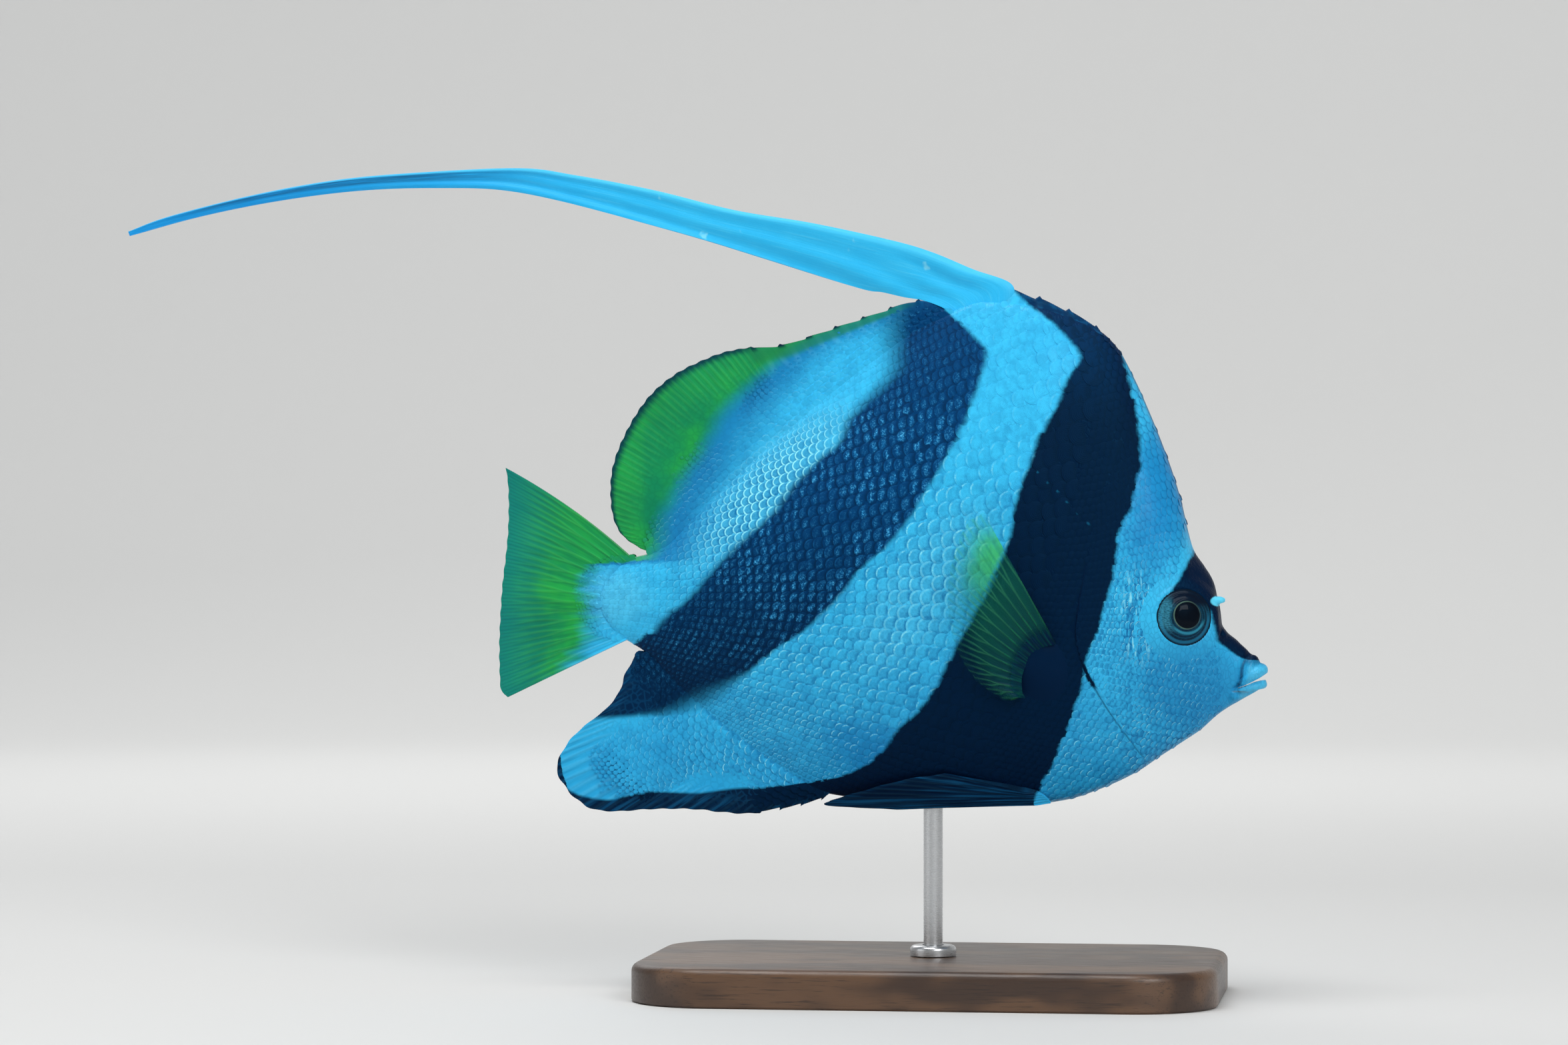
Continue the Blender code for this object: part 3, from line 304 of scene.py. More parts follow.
def side_at(x, z, proud=0.0):
    """Half width of the body at a point of its side view."""
    x, z = np.asarray(x, float), np.asarray(z, float)
    middle = widest(x)
    above = z >= middle
    reach = np.where(above, back(x) - middle, middle - belly(x))
    edge = np.where(above, back_edge(x), belly_edge(x))
    wedge = np.where(above, back_wedge(x), belly_wedge(x))
    share = np.minimum(np.abs(z - middle) / reach, 1.0)
    round_part = (1 - share**2) ** wedge
    return edge + (half_width(x) - edge + proud * round_part) * round_part


def gill_rise(x, z):
    """The gill cover stands out more and more towards its free edge, and ends there in a step."""
    ahead = x - gill_x(z)
    step = GILL_STEP * (1 - ease((z - 50.0) / 24.0))
    return step * np.where(ahead > 0, ease(1 - ahead / GILL_STEP_REACH), ease(1 + ahead / GILL_LIP))


def side_normal(x, z, reach=0.5):
    """Outward direction of the flank on the side of +Y."""
    along = (side_at(x + reach, z) - side_at(x - reach, z)) / (2 * reach)
    up = (side_at(x, z + reach) - side_at(x, z - reach)) / (2 * reach)
    return unit(np.stack([-along, np.ones_like(along), -up], -1))


def eye_place():
    """Centre, outward direction, forward and upward direction of the eye on the side of +Y."""
    x, z = np.array(EYE_X), np.array(EYE_Z)
    out = side_normal(x, z)
    centre = np.array([EYE_X, float(side_at(x, z)), EYE_Z])
    ahead = unit(np.array([1.0, 0, 0]) - out * out[0])
    return centre, out, ahead, np.cross(ahead, out)


def add_uv(mesh, name, pairs):
    """A UV map with one pair for each point of the mesh."""
    corners = np.empty(len(mesh.loops), np.int32)
    mesh.loops.foreach_get("vertex_index", corners)
    layer = mesh.uv_layers.new(name=name)
    layer.data.foreach_set("uv", np.asarray(pairs, np.float32)[corners].ravel())


def add_vectors(mesh, name, values):
    layer = mesh.attributes.new(name, "FLOAT_VECTOR", "POINT")
    layer.data.foreach_set("vector", np.asarray(values, np.float32).ravel())


def read_vectors(mesh, name):
    values = np.empty(len(mesh.vertices) * 3, np.float32)
    mesh.attributes[name].data.foreach_get("vector", values)
    return values.reshape(-1, 3)


def mesh_object(name, points, faces, finish=None, uv=None):
    """An object whose mesh holds the points, in metres, with one UV pair for each point if given."""
    mesh = bpy.data.meshes.new(name)
    mesh.from_pydata(np.asarray(points, float).tolist(), [], [tuple(f) for f in faces])
    mesh.update()
    if uv is not None:
        add_uv(mesh, "Lie", uv)
    obj = bpy.data.objects.new(name, mesh)
    bpy.context.scene.collection.objects.link(obj)
    if finish:
        mesh.materials.append(finish)
    mesh.shade_smooth()
    return obj


def outward(mesh, weld=0.0):
    """Turns the faces of a closed mesh outwards, after joining points that lie within weld."""
    bm = bmesh.new()
    bm.from_mesh(mesh)
    if weld:
        bmesh.ops.remove_doubles(bm, verts=bm.verts, dist=weld)
    bmesh.ops.recalc_face_normals(bm, faces=bm.faces)
    bm.to_mesh(mesh)
    bm.free()


def closed_object(name, points, faces, finish=None, uv=None):
    obj = mesh_object(name, points, faces, finish, uv)
    outward(obj.data)
    return obj


def mesh_after_modifiers(obj):
    """Replaces the object's mesh by the one that its modifiers give."""
    graph = bpy.context.evaluated_depsgraph_get()
    made = bpy.data.meshes.new_from_object(obj.evaluated_get(graph))
    old = obj.data
    obj.modifiers.clear()
    obj.data = made
    bpy.data.meshes.remove(old)


def grid_faces(columns, rows, first=0, flip=False):
    """Quads of a grid of points that are stored column by column."""
    i, j = np.meshgrid(np.arange(columns - 1), np.arange(rows - 1), indexing="ij")
    a = (first + i * rows + j).ravel()
    quads = np.stack([a, a + rows, a + rows + 1, a + 1], -1)
    return quads[:, ::-1] if flip else quads


def tube_faces(rings, turns, ends=None):
    """Quads between rings of points that are stored ring by ring.

    The ends stay open, are closed by "flat" faces, run to two "tips" stored last, or "meet".
    """
    i, k = np.meshgrid(np.arange(rings if ends == "meet" else rings - 1), np.arange(turns), indexing="ij")
    a, b = i * turns + k, i * turns + (k + 1) % turns
    onward = ((i + 1) % rings - i) * turns
    faces = np.stack([a, b, b + onward, a + onward], -1).reshape(-1, 4).tolist()
    last = (rings - 1) * turns
    if ends == "flat":
        faces += [range(turns), range(last, last + turns)]
    if ends == "tips":
        for k in range(turns):
            after = (k + 1) % turns
            faces += [(last + turns, k, after), (last + turns + 1, last + after, last + k)]
    return faces


# Body
HEAD_STEP, TRUNK_STEP, LEVELS = 0.42, 0.85, 96


def station_starts():
    """Where the upright sections cross the middle of the body, closer together on the head."""
    snout = np.arange(86.0, 72.0, -0.3)
    head = np.arange(72.0, GILL_MIDDLE + 1.0, -HEAD_STEP)
    lip = GILL_MIDDLE + np.array([0.7, 0.4, 0.18, 0.0, -0.14, -0.28, -0.5, -0.9])
    trunk = np.arange(GILL_MIDDLE - 1.5, -76.0, -TRUNK_STEP)
    end = -76.0 - 12.0 * np.sin(np.linspace(0, math.pi / 2, 18))
    return np.concatenate([snout, head, lip, trunk, end])


def station_line(start, share):
    """Side view points of one section, which bends to follow the gill edge where it is near."""
    pull = 1 - ease(np.abs(start - GILL_MIDDLE) / GILL_PULL)
    x = np.broadcast_to(start, np.broadcast(start, share).shape).astype(float)
    for _ in range(30):
        middle = widest(x)
        z = middle + share * np.where(share >= 0, back(x) - middle, middle - belly(x))
        x = 0.5 * x + 0.5 * (start + pull * (gill_x(z) - GILL_MIDDLE))
    return x, z


def focus(x, z):
    """How much closer the levels lie round the eye than elsewhere."""
    return 1 + 3.2 * hump(z - EYE_Z, 10.0) * hump(x - EYE_X, 13.0)


def flank_grid():
    """The flank on the side of +Y: a grid of points, sections by levels, belly to back."""
    starts = station_starts()[:, None]
    share = np.sin(np.linspace(-math.pi / 2, math.pi / 2, 420))[None, :]
    x, z = station_line(starts, share)
    y = side_at(x, z, gill_rise(x, z))
    points = np.stack([x, y, z], -1)
    step = np.linalg.norm(np.diff(points, axis=1), axis=-1)
    weight = step * (focus(x, z)[:, 1:])
    run = np.concatenate([np.zeros((len(starts), 1)), np.cumsum(weight, 1)], 1)
    levels = np.linspace(0, 1, LEVELS)
    rows = []
    for line, length in zip(points, run):
        rows.append(np.stack([np.interp(levels * length[-1], length, line[:, k]) for k in range(3)], -1))
    return np.array(rows)


def grid_normals(grid):
    along, up = np.gradient(grid, axis=0), np.gradient(grid, axis=1)
    normal = unit(np.cross(along, up))
    return normal * np.where(normal[..., 1:2] < 0, -1.0, 1.0)


def head_relief(x, z):
    """Ridges and hollows of the head, as millimetres outwards."""
    ridge = distance_to(CHEEK_RIDGE, x, z)
    fade = ease((x - 44.0) / 5.0)
    relief = fade * (0.04 * hump(ridge - 0.2, 0.9) - 0.12 * hump(ridge + 1.3, 0.9))
    crease = distance_to(JAW_CREASE, x, z)
    near_mouth = ease((x - 76.0) / 2.0)
    relief += near_mouth * (0.75 * hump(crease - 1.7, 1.4) - 0.95 * hump(crease + 0.05, 0.5))
    chin = distance_to(CHIN_CREASE, x, z)
    relief -= near_mouth * 0.22 * hump(chin, 0.4)
    for nx, nz, radius in NOSTRILS:
        far = np.hypot((x - nx), (z - nz) * 0.8)
        relief += 0.16 * hump(far - radius * 1.7, radius * 0.6) - 1.1 * ease(1.25 - far / radius)
    return relief


def shape_orbit(points):
    """Draws the skin up to the eye's rim, rolls a thin lid fold round it and hollows the socket."""
    centre, out, _, _ = eye_place()
    offset = points - centre
    height = offset @ out
    far = np.linalg.norm(offset - height[..., None] * out, axis=-1)
    ring = 0.24 * hump(far - (EYE_RADIUS + 0.25), 0.42) - 0.12 * hump(far - (EYE_RADIUS + 1.5), 0.7)
    hollow = -2.8 * ease((EYE_RADIUS - 0.1 - far) / 0.8)
    meet = ease((EYE_RADIUS + 4.5 - far) / 4.0)
    wanted = -0.15 + ring + hollow
    shift = (wanted - height) * meet + (1 - meet) * ring
    near_side = (points[..., 1] > 2.0) & (far < EYE_RADIUS + 6)
    return points + np.where(near_side, shift, 0.0)[..., None] * out


def body_skin(finish):
    """The one skin of head, trunk and tail stalk, as a loft with rounded ends."""
    grid = flank_grid()
    normals = grid_normals(grid)
    relief = head_relief(grid[..., 0], grid[..., 2]) * ease(grid[..., 1] / 1.2)
    grid = shape_orbit(grid + normals * (relief - COAT_DEPTH)[..., None])
    high, low = grid[:, -1:], grid[:, :1]
    crown = high * (1, 0, 1) + high[..., 1:2] * (0, 0, END_CAP)
    keel = low * (1, 0, 1) - low[..., 1:2] * (0, 0, END_CAP)
    rings = np.concatenate([keel, grid * (1, -1, 1), crown, grid[:, ::-1]], 1)
    tips = [rings[0].mean(0) + (END_CAP, 0, 0), rings[-1].mean(0) - (END_CAP, 0, 0)]
    points = metres(np.vstack([rings.reshape(-1, 3), tips]))
    skin = closed_object("skin", points, tube_faces(*rings.shape[:2], "tips"), finish)
    add_lips(skin)
    return skin


def roll(name, centres, across, upward, turns=20):
    """A closed roll of oval sections: across and upward are its half sizes at each centre."""
    centres = np.asarray(centres, float)
    ahead = unit(np.gradient(centres, axis=0))
    out = unit(np.cross(ahead, (0.0, 0.0, 1.0)))
    lift = unit(np.cross(out, ahead))
    turn = np.linspace(0, 2 * math.pi, turns, endpoint=False)
    rings = (
        centres[:, None]
        + out[:, None] * (np.cos(turn) * across[:, None])[..., None]
        + lift[:, None] * (np.sin(turn) * upward[:, None])[..., None]
    )
    return closed_object(name, metres(rings.reshape(-1, 3)), tube_faces(len(centres), turns, "flat"))


def lip_roll(name, front, corner, half_across, steps=41):
    """A lip that runs from one mouth corner round the front of the snout to the other."""
    turn = np.linspace(-math.pi / 2, math.pi / 2, steps)
    mix = np.cos(turn) ** 0.8
    (fx, fz, f_out, f_up), (cx, cz, c_out, c_up) = front, corner
    centres = np.stack([cx + (fx - cx) * mix, half_across * np.sin(turn), cz + (fz - cz) * mix], -1)
    return roll(name, centres, c_out + (f_out - c_out) * mix, c_up + (f_up - c_up) * mix)


def brow_nub(side):
    """The short, blunt, pale spine over each eye."""
    xs = np.linspace(BROW[0][0], BROW[-1][0], 11)
    share = np.linspace(0, 1, 11)
    out = side * (side_at(np.array(BROW[0][0]), np.array(BROW[0][1])) * 0.8 + 0.25 * share)
    radius = np.sqrt(np.clip(1 - ((share - 0.42) / 0.6) ** 2, 0.01, 1)) * 1.05
    zs = np.interp(xs, [p[0] for p in BROW], [p[1] for p in BROW])
    return roll("brow_nub", np.stack([xs, out, zs], -1), radius * 0.9, radius, turns=14)


def nostril_flap(side):
    x, z, _ = NOSTRILS[1]
    share = np.linspace(0, 1, 7)
    start = side * side_at(np.array(x), np.array(z)) * 0.95
    centres = np.stack([x - 0.55 + 0.25 * share, start + side * 0.75 * share, z + 0.1 + 1.0 * share], -1)
    thick = 0.38 * np.sqrt(np.clip(1 - share**2, 0.02, 1))
    return roll("nostril_flap", centres, thick, thick * 1.4, turns=10)


def mouth_wedge():
    """The cut between the lips, closed at the corners and open at the front."""
    xs = np.array([78.9, 81.0, 83.0, 84.6, 86.0, 88.5])
    middle = np.array([33.95, 34.75, 35.65, 36.3, 36.85, 37.4])
    gap = np.array([0.10, 0.14, 0.25, 0.7, 1.5, 3.4])
    low = np.stack([xs, middle - gap / 2], -1)
    high = np.stack([xs, middle + gap / 2], -1)[::-1]
    outline = np.vstack([low, high])
    points = [(x, side * 9.0, z) for side in (-1, 1) for x, z in outline]
    return closed_object("mouth_wedge", metres(points), tube_faces(2, len(outline), "flat"))


def add_lips(skin):
    """Joins lips, brow spines and nostril flaps to the skin, opens the mouth and softens the joins."""
    added = [
        lip_roll("upper_lip", (84.75, 38.75, 1.95, 1.75), (79.3, 35.1, 0.7, 0.8), 3.35),
        lip_roll("lower_lip", (85.25, 34.95, 1.2, 1.15), (79.2, 33.25, 0.6, 0.7), 3.25),
    ]
    added += [brow_nub(side) for side in (-1, 1)] + [nostril_flap(side) for side in (-1, 1)]
    for tool, operation in [(piece, "UNION") for piece in added] + [(mouth_wedge(), "DIFFERENCE")]:
        step = skin.modifiers.new(operation.lower(), "BOOLEAN")
        step.operation, step.object, step.solver = operation, tool, "MANIFOLD"
        mesh_after_modifiers(skin)
        bpy.data.objects.remove(tool)
    bm = bmesh.new()
    bm.from_mesh(skin.data)
    bmesh.ops.remove_doubles(bm, verts=bm.verts, dist=0.00002)
    mouth = [v for v in bm.verts if v.co.x > 79.2 * MM]
    brow = [v for v in bm.verts if 71.5 * MM < v.co.x < 79.2 * MM and v.co.z > (54 + FISH_LIFT) * MM]
    for soft in [mouth] * 4 + [brow] * 3:
        bmesh.ops.smooth_vert(bm, verts=soft, factor=0.5, use_axis_x=True, use_axis_y=True, use_axis_z=True)
    bm.to_mesh(skin.data)
    bm.free()
    skin.data.shade_smooth()


# Eyes
def eye_ball(side, finish):
    """A domed cornea with a raised pupil, whose UV map is its own face: 0.5 is the middle."""
    centre, out, ahead, up = eye_place()
    mirror = np.array([1.0, side, 1.0])
    centre, out, ahead, up = centre * mirror, out * mirror, ahead * mirror, up * mirror
    rings, turns = 44, 96
    sphere = (EYE_RADIUS**2 + EYE_DOME**2) / (2 * EYE_DOME)
    radius = np.linspace(0, 1, rings)[1:] ** 0.9 * (EYE_RADIUS + 0.1)
    turn = np.linspace(0, 2 * math.pi, turns, endpoint=False)
    r, a = np.meshgrid(radius, turn, indexing="ij")
    u, v = r * np.cos(a), r * np.sin(a)
    dome = EYE_DOME - (sphere - np.sqrt(sphere**2 - r**2))
    pupil = np.hypot(u - PUPIL_AHEAD, v - PUPIL_UP)
    pupil_rise = 0.22
    dome = dome + pupil_rise * ease((PUPIL_RADIUS + 0.5 - pupil) / 1.6)
    dome = dome - 0.1 * hump(pupil - PUPIL_RADIUS - 0.7, 0.3) - 0.16 * hump(r - EYE_RADIUS * 0.86, 0.35)
    points = centre + u[..., None] * ahead + v[..., None] * up + dome[..., None] * out
    rim = centre + (u[-1] * 0.92)[:, None] * ahead + (v[-1] * 0.92)[:, None] * up - 2.2 * out
    tips = [centre + (EYE_DOME + pupil_rise) * out, centre - 3.0 * out]
    face_uv = np.stack([0.5 + u / EYE_SPAN, 0.5 + v / EYE_SPAN], -1).reshape(-1, 2)
    uv = np.vstack([face_uv, face_uv[-turns:], [(0.5, 0.5)] * 2])
    name = "eye_of_the_right" if side < 0 else "eye_of_the_left"
    flat = metres(np.vstack([points.reshape(-1, 3), rim, tips]))
    return closed_object(name, flat, tube_faces(rings, turns, "tips"), finish, uv)


# Fins, with the share of each ray that lies under small scales
SPINY_COVER, SOFT_COVER, ANAL_COVER = 0.75, 0.42, 0.55


def ray_profile(place, t, forks):
    """Height of the rays across a fin, 0 to 1: each ray splits in two at every fork."""
    centre = np.round(place)
    offset = place - centre
    branches = [np.zeros_like(t)]
    spread = 0.5
    for fork in forks:
        spread /= 2
        apart = spread * ease((t - fork) / 0.3)
        branches = [b + side * apart for b in branches for side in (-1, 1)]
    width = 0.2 - 0.09 * ease((t - forks[0]) / 0.4) if forks else 0.2
    height = np.zeros_like(t)
    for branch in branches:
        height = np.maximum(height, hump(offset - branch, width))
    return height


def fin_grid(base, edge, rays, rows, *, root_half, tip_half=0.14, ridge=0.2, forks=(0.45,), sunk=2.5,
             sway=None, bow=0.0, cut=None, per_ray=12, first_ray=0, bare_from=-1.0):
    """Middle points, half thickness and UV of a fin between its base line and its free edge."""
    columns = (rays - 1) * per_ray + 1
    s = np.linspace(0, 1, columns)
    root, tip = path_of(base)(s), path_of(edge)(s)
    length = np.linalg.norm(tip - root, axis=-1)
    place = s * (rays - 1)
    shorter = cut(place, length) if cut else np.zeros(columns)
    reach = 1 - shorter / length
    start = -sunk / length
    j = np.linspace(0, 1, rows)[None, :]
    t = start[:, None] + (reach - start)[:, None] * j
    points = root[:, None] + (tip - root)[:, None] * t[..., None]
    inside = np.clip(t, 0, 1)
    if points.shape[-1] == 2:
        run = unit(tip - root)
        lift = bow * (1 - s[:, None]) ** 2 * 4 * inside * (1 - inside)
        out = sway(s[:, None], inside) if sway else np.zeros_like(t)
        points = np.stack([points[..., 0] + run[:, None, 1] * lift, out,
                           points[..., 1] - run[:, None, 0] * lift], -1)
    thick = root_half(s)[:, None] if callable(root_half) else root_half
    raised = ridge * ray_profile(np.broadcast_to(place[:, None], t.shape), t, forks)
    raised = raised * ease((t - bare_from) / 0.2)
    half = tip_half + (thick - tip_half) * (1 - inside) ** 1.6 + raised * (1 - 0.55 * inside)
    half = half * ease(0.25 + (1 - j) * rows / 4.0) * (0.4 + 0.6 * ease(1 - t / start[:, None]))
    uv = np.stack([np.broadcast_to(place[:, None], t.shape) + first_ray, t], -1)
    return points, half, uv


def fin_object(name, grid, finish):
    """A closed sheet round the middle points of a fin."""
    points, half, uv = grid
    columns, rows, _ = points.shape
    normal = grid_normals(points)
    near, far = points - normal * half[..., None], points + normal * half[..., None]
    count = columns * rows
    faces = grid_faces(columns, rows).tolist() + grid_faces(columns, rows, count, flip=True).tolist()
    index = np.arange(count).reshape(columns, rows)
    rim = np.concatenate([index[:, 0], index[-1, 1:], index[-2::-1, -1], index[0, -2:0:-1]]).tolist()
    faces += [(a, a + count, b + count, b) for a, b in zip(rim, rim[1:] + rim[:1])]
    flat = np.vstack([near.reshape(-1, 3), far.reshape(-1, 3)])
    obj = closed_object(name, metres(flat), faces, finish, np.vstack([uv.reshape(-1, 2)] * 2))
    obj.data.set_sharp_from_angle(angle=math.radians(60))
    return obj


def join_columns(*grids):
    """One fin grid from several that share their border columns."""
    firsts, rest = grids[0], grids[1:]
    parts = [[a] for a in firsts]
    for grid in rest:
        for part, array in zip(parts, grid):
            part.append(array[1:])
    return tuple(np.concatenate(part) for part in parts)


def spine_notch(depth):
    """The membrane leaves each spine below its tip and climbs to the next one."""

    def cut(place, length):
        behind = place - np.floor(place)
        return depth * ease(behind / 0.16) * (1 - 0.55 * ease(behind)) * (behind > 0)

    return cut


def soft_scallop(depth):
    def cut(place, length):
        return depth * (0.5 - 0.5 * np.cos(2 * math.pi * place)) * ease(length / 6.0)

    return cut


def dorsal_grid():
    spiny = fin_grid(*REAR_SPINES, 8, 60, root_half=lambda s: 1.85 - 0.1 * s, forks=(),
                     cut=spine_notch(0.8), per_ray=14, bare_from=SPINY_COVER)
    soft = fin_grid(*SOFT_DORSAL, 23, 60, root_half=lambda s: 1.75 - 0.8 * s * s, forks=(0.42,),
                    cut=soft_scallop(0.25), first_ray=7, ridge=0.1, bare_from=SOFT_COVER,
                    sway=lambda s, t: 0.7 * t**2 * np.sin(5 * math.pi * s))
    return join_columns(spiny, soft)


def anal_grid():
    def cut(place, length):
        return np.where(place < 3, spine_notch(1.4)(place, length), soft_scallop(0.4)(place, length))

    def root(s):
        return 1.4 + 0.4 * ease(s / 0.15) - 0.75 * ease((s - 0.5) / 0.5)

    return fin_grid(*ANAL, 21, 64, root_half=root, cut=cut, ridge=0.14, bare_from=ANAL_COVER,
                    sway=lambda s, t: 0.6 * t**2 * np.sin(4 * math.pi * s + 0.7))


def tail_grid():
    def root(s):
        spot = path_of(TAIL[0])(s)
        return np.maximum(side_at(np.maximum(spot[:, 0], -87.5), spot[:, 1]) + 0.1, 1.3)

    return fin_grid(*TAIL, 17, 70, root_half=root, tip_half=0.12, cut=soft_scallop(0.2), bow=1.3, per_ray=18,
                    forks=(0.3, 0.62), ridge=0.13,
                    sway=lambda s, t: 2.2 * t * t + 0.5 * t * np.sin(3 * math.pi * s))


def pectoral_grid(side):
    base = [(x, side * PECTORAL_ROOT_OUT, z) for x, z in PECTORAL[0]]
    spread = PECTORAL_TIP_OUT - PECTORAL_ROOT_OUT
    edge = [(x, side * (PECTORAL_ROOT_OUT + spread * math.dist((x, z), (27, 40)) / 40), z)
            for x, z in PECTORAL[1]]
    return fin_grid(base, edge, 14, 60, root_half=0.7, tip_half=0.09, ridge=0.12, cut=soft_scallop(0.4),
                    forks=(0.4,), per_ray=16)


def pelvic_grid(side):
    base = [(x, side * y, z) for x, y, z in PELVIC[0]]
    edge = [(x, side * y, z) for x, y, z in PELVIC[1]]
    return fin_grid(base, edge, 7, 60, root_half=0.9, ridge=0.22, cut=soft_scallop(0.6), per_ray=14, sunk=4.0)


def front_spine_grid():
    return fin_grid(*FRONT_SPINES, 4, 30, root_half=1.5, forks=(), cut=spine_notch(1.2), per_ray=14)


def banner_grid(across=34, along=320):
    """The long blade: a stout spine along its upper edge, then skin that thins to its lower edge."""
    top, bottom = path_of(BANNER_TOP), path_of(BANNER_BOTTOM)
    t = np.linspace(-0.012, 1, along)[None, :]
    inside = np.clip(t, 0, 1)
    upper, lower = top(inside[0]), bottom(inside[0])
    share = np.linspace(0, 1, across)[:, None]
    side_view = upper[None] + (lower - upper)[None] * share[..., None]
    side_view = side_view + (top(0.0) - top(0.01)) * (np.clip(-t, 0, 1) / 0.01)[..., None]
    sway = BANNER_SWAY * np.sin(math.pi * 1.25 * inside) * inside
    width = np.linalg.norm(lower - upper, axis=-1)[None, :]
    fold = 0.028 * width * np.sin(2 * math.pi * (share * 2.2 + 1.5 * inside)) * share
    sag = 0.05 * width * share**2 * np.sin(9 * inside)
    near_root = 0.5 * hump(inside - 0.075, 0.05) * np.sin(16 * share + 30 * inside) * ease(share / 0.3)
    points = np.stack([side_view[..., 0], sway + fold * ease(inside / 0.1) + sag + near_root,
                       side_view[..., 1]], -1)
    profile = curve_of([(0.0, 0.34), (0.05, 0.72), (0.12, 0.95), (0.2, 0.7), (0.3, 0.45), (1.0, 0.26)])
    slim = curve_of([(0.0, 0.2), (0.12, 0.4), (0.3, 0.26), (1.0, 0.18)])
    half = profile(share) + (slim(share) - profile(share)) * inside**0.7
    half = half * (0.35 + 0.65 * ease((1 - inside) / 0.02))
    half = np.hypot(half, 1.45 * np.clip(1 - inside / 0.05, 0, 1) ** 1.3 * ease(0.15 + share / 0.3))
    uv = np.stack([np.broadcast_to(share, half.shape), np.broadcast_to(t, half.shape)], -1)
    return points, half, uv


def pectoral_pad(side, steps=48, rings=14):
    """The muscular root of the pectoral fin, a low swelling that runs out into the shoulder."""
    mid_x, mid_z, lean, rise, sunk = 28.6, 39.8, math.radians(24), 1.9, 0.35
    far = np.linspace(0, 1, rings + 1)[1:, None]
    turn = np.linspace(0, 2 * math.pi, steps, endpoint=False)[None, :]
    u, v = 8.4 * far * np.cos(turn), 10.8 * far * np.sin(turn)
    x = mid_x + u * math.cos(lean) - v * math.sin(lean)
    z = mid_z + u * math.sin(lean) + v * math.cos(lean)
    y = side_at(x, z) + rise * (1 - far**2) ** 1.5 - sunk
    points = np.stack([x, side * y, z], -1).reshape(-1, 3)
    middle = float(side_at(mid_x, mid_z))
    tips = [(mid_x, side * (middle + rise - sunk), mid_z), (mid_x, side * (middle - 2.5), mid_z)]
    return np.vstack([points, tips]), tube_faces(rings, steps, "tips")


# Scales: where their rows meet behind the tail, and spacings along and across the rows
ROWS_MEET = (-130.0, 57.0)
SCALE_STEP, SCALE_ROW, SCALE_RADIUS = 3.15, 3.9, 150.0
SHOULDER_STEP, SHOULDER_ROW = 1.65, 1.65
FACE_ROWS_MEET, FACE_STEP, FACE_ROW, FACE_RADIUS = (-30.0, 52.0), 1.3, 2.05, 90.0
ROW_FINENESS = (
    (-30.0, 0.45), (-20.0, 0.65), (-13.0, 0.95), (0.0, 1.06), (12.0, 1.06), (21.0, 0.86), (25.0, 0.64),
    (32.0, 0.5),
)
SHOULDER_EDGE = (
    (-6, 22), (10, 20), (20, 15), (30, 21), (40, 25), (52, 29), (63, 33), (72, 36), (84, 39), (92, 41),
    (107, 43), (119, 43), (132, 36), (142, 32),
)
PATCH = 0.003


def scale_plate(name, rear, front, rings, upper):
    """One scale, 1 long and 1 wide, its root towards +X and its side nearer the back towards upper.

    It is an oval that rises to its free edge and to the back, and its rim is folded under.
    """
    turn = np.concatenate([np.linspace(0.5, 1.5, rear, endpoint=False),
                           np.linspace(1.5, 2.5, front, endpoint=False)]) * math.pi
    sides, square = len(turn), 2.0 / 2.2
    u = 0.5 * np.sign(np.cos(turn)) * np.abs(np.cos(turn)) ** square
    v = 0.5 * np.sign(np.sin(turn)) * np.abs(np.sin(turn)) ** square
    points, spots = [(0, 0, 0.3)], [(0.5, 0.5)]
    for share in rings:
        for a, b in zip(u * share, v * share):
            rim = 0.16 if share == rings[-1] else 0.0
            rise = 0.3 - 1.0 * a + 0.56 * upper * b
            points.append((a, b, rise - 0.26 * (2 * b) ** 2 - 0.12 * (2 * a) ** 2 - rim))
            spots.append((a + 0.5, upper * b + 0.5))
    for a, b in zip(u, v):
        points.append((a, b, -1.2))
        spots.append((a + 0.5, upper * b + 0.5))
    faces = [(0, 1 + k, 1 + (k + 1) % sides) for k in range(sides)]
    for ring in range(len(rings)):
        for k in range(sides):
            a, b = 1 + ring * sides + k, 1 + ring * sides + (k + 1) % sides
            faces.append((a, a + sides, b + sides, b))
    obj = mesh_object(name, points, faces)
    add_vectors(obj.data, "spot", [(a, b, 0) for a, b in spots])
    bpy.context.scene.collection.objects.unlink(obj)
    return obj


def arc_table(xs, steps=260):
    """For each section, heights of the flank and what they unroll to, equal at ROWS_MEET's height."""
    share = np.sin(np.linspace(-math.pi / 2, math.pi / 2, steps))[None, :]
    x = np.broadcast_to(xs[:, None], (len(xs), steps))
    middle = widest(x)
    z = middle + share * np.where(share >= 0, back(x) - middle, middle - belly(x))
    y = side_at(x, z)
    run = np.concatenate([np.zeros((len(xs), 1)), np.cumsum(np.hypot(np.diff(z), np.diff(y)), 1)], 1)
    zero = np.array([np.interp(ROWS_MEET[1], line, length) for line, length in zip(z, run)])
    return z, run - zero[:, None] + ROWS_MEET[1]


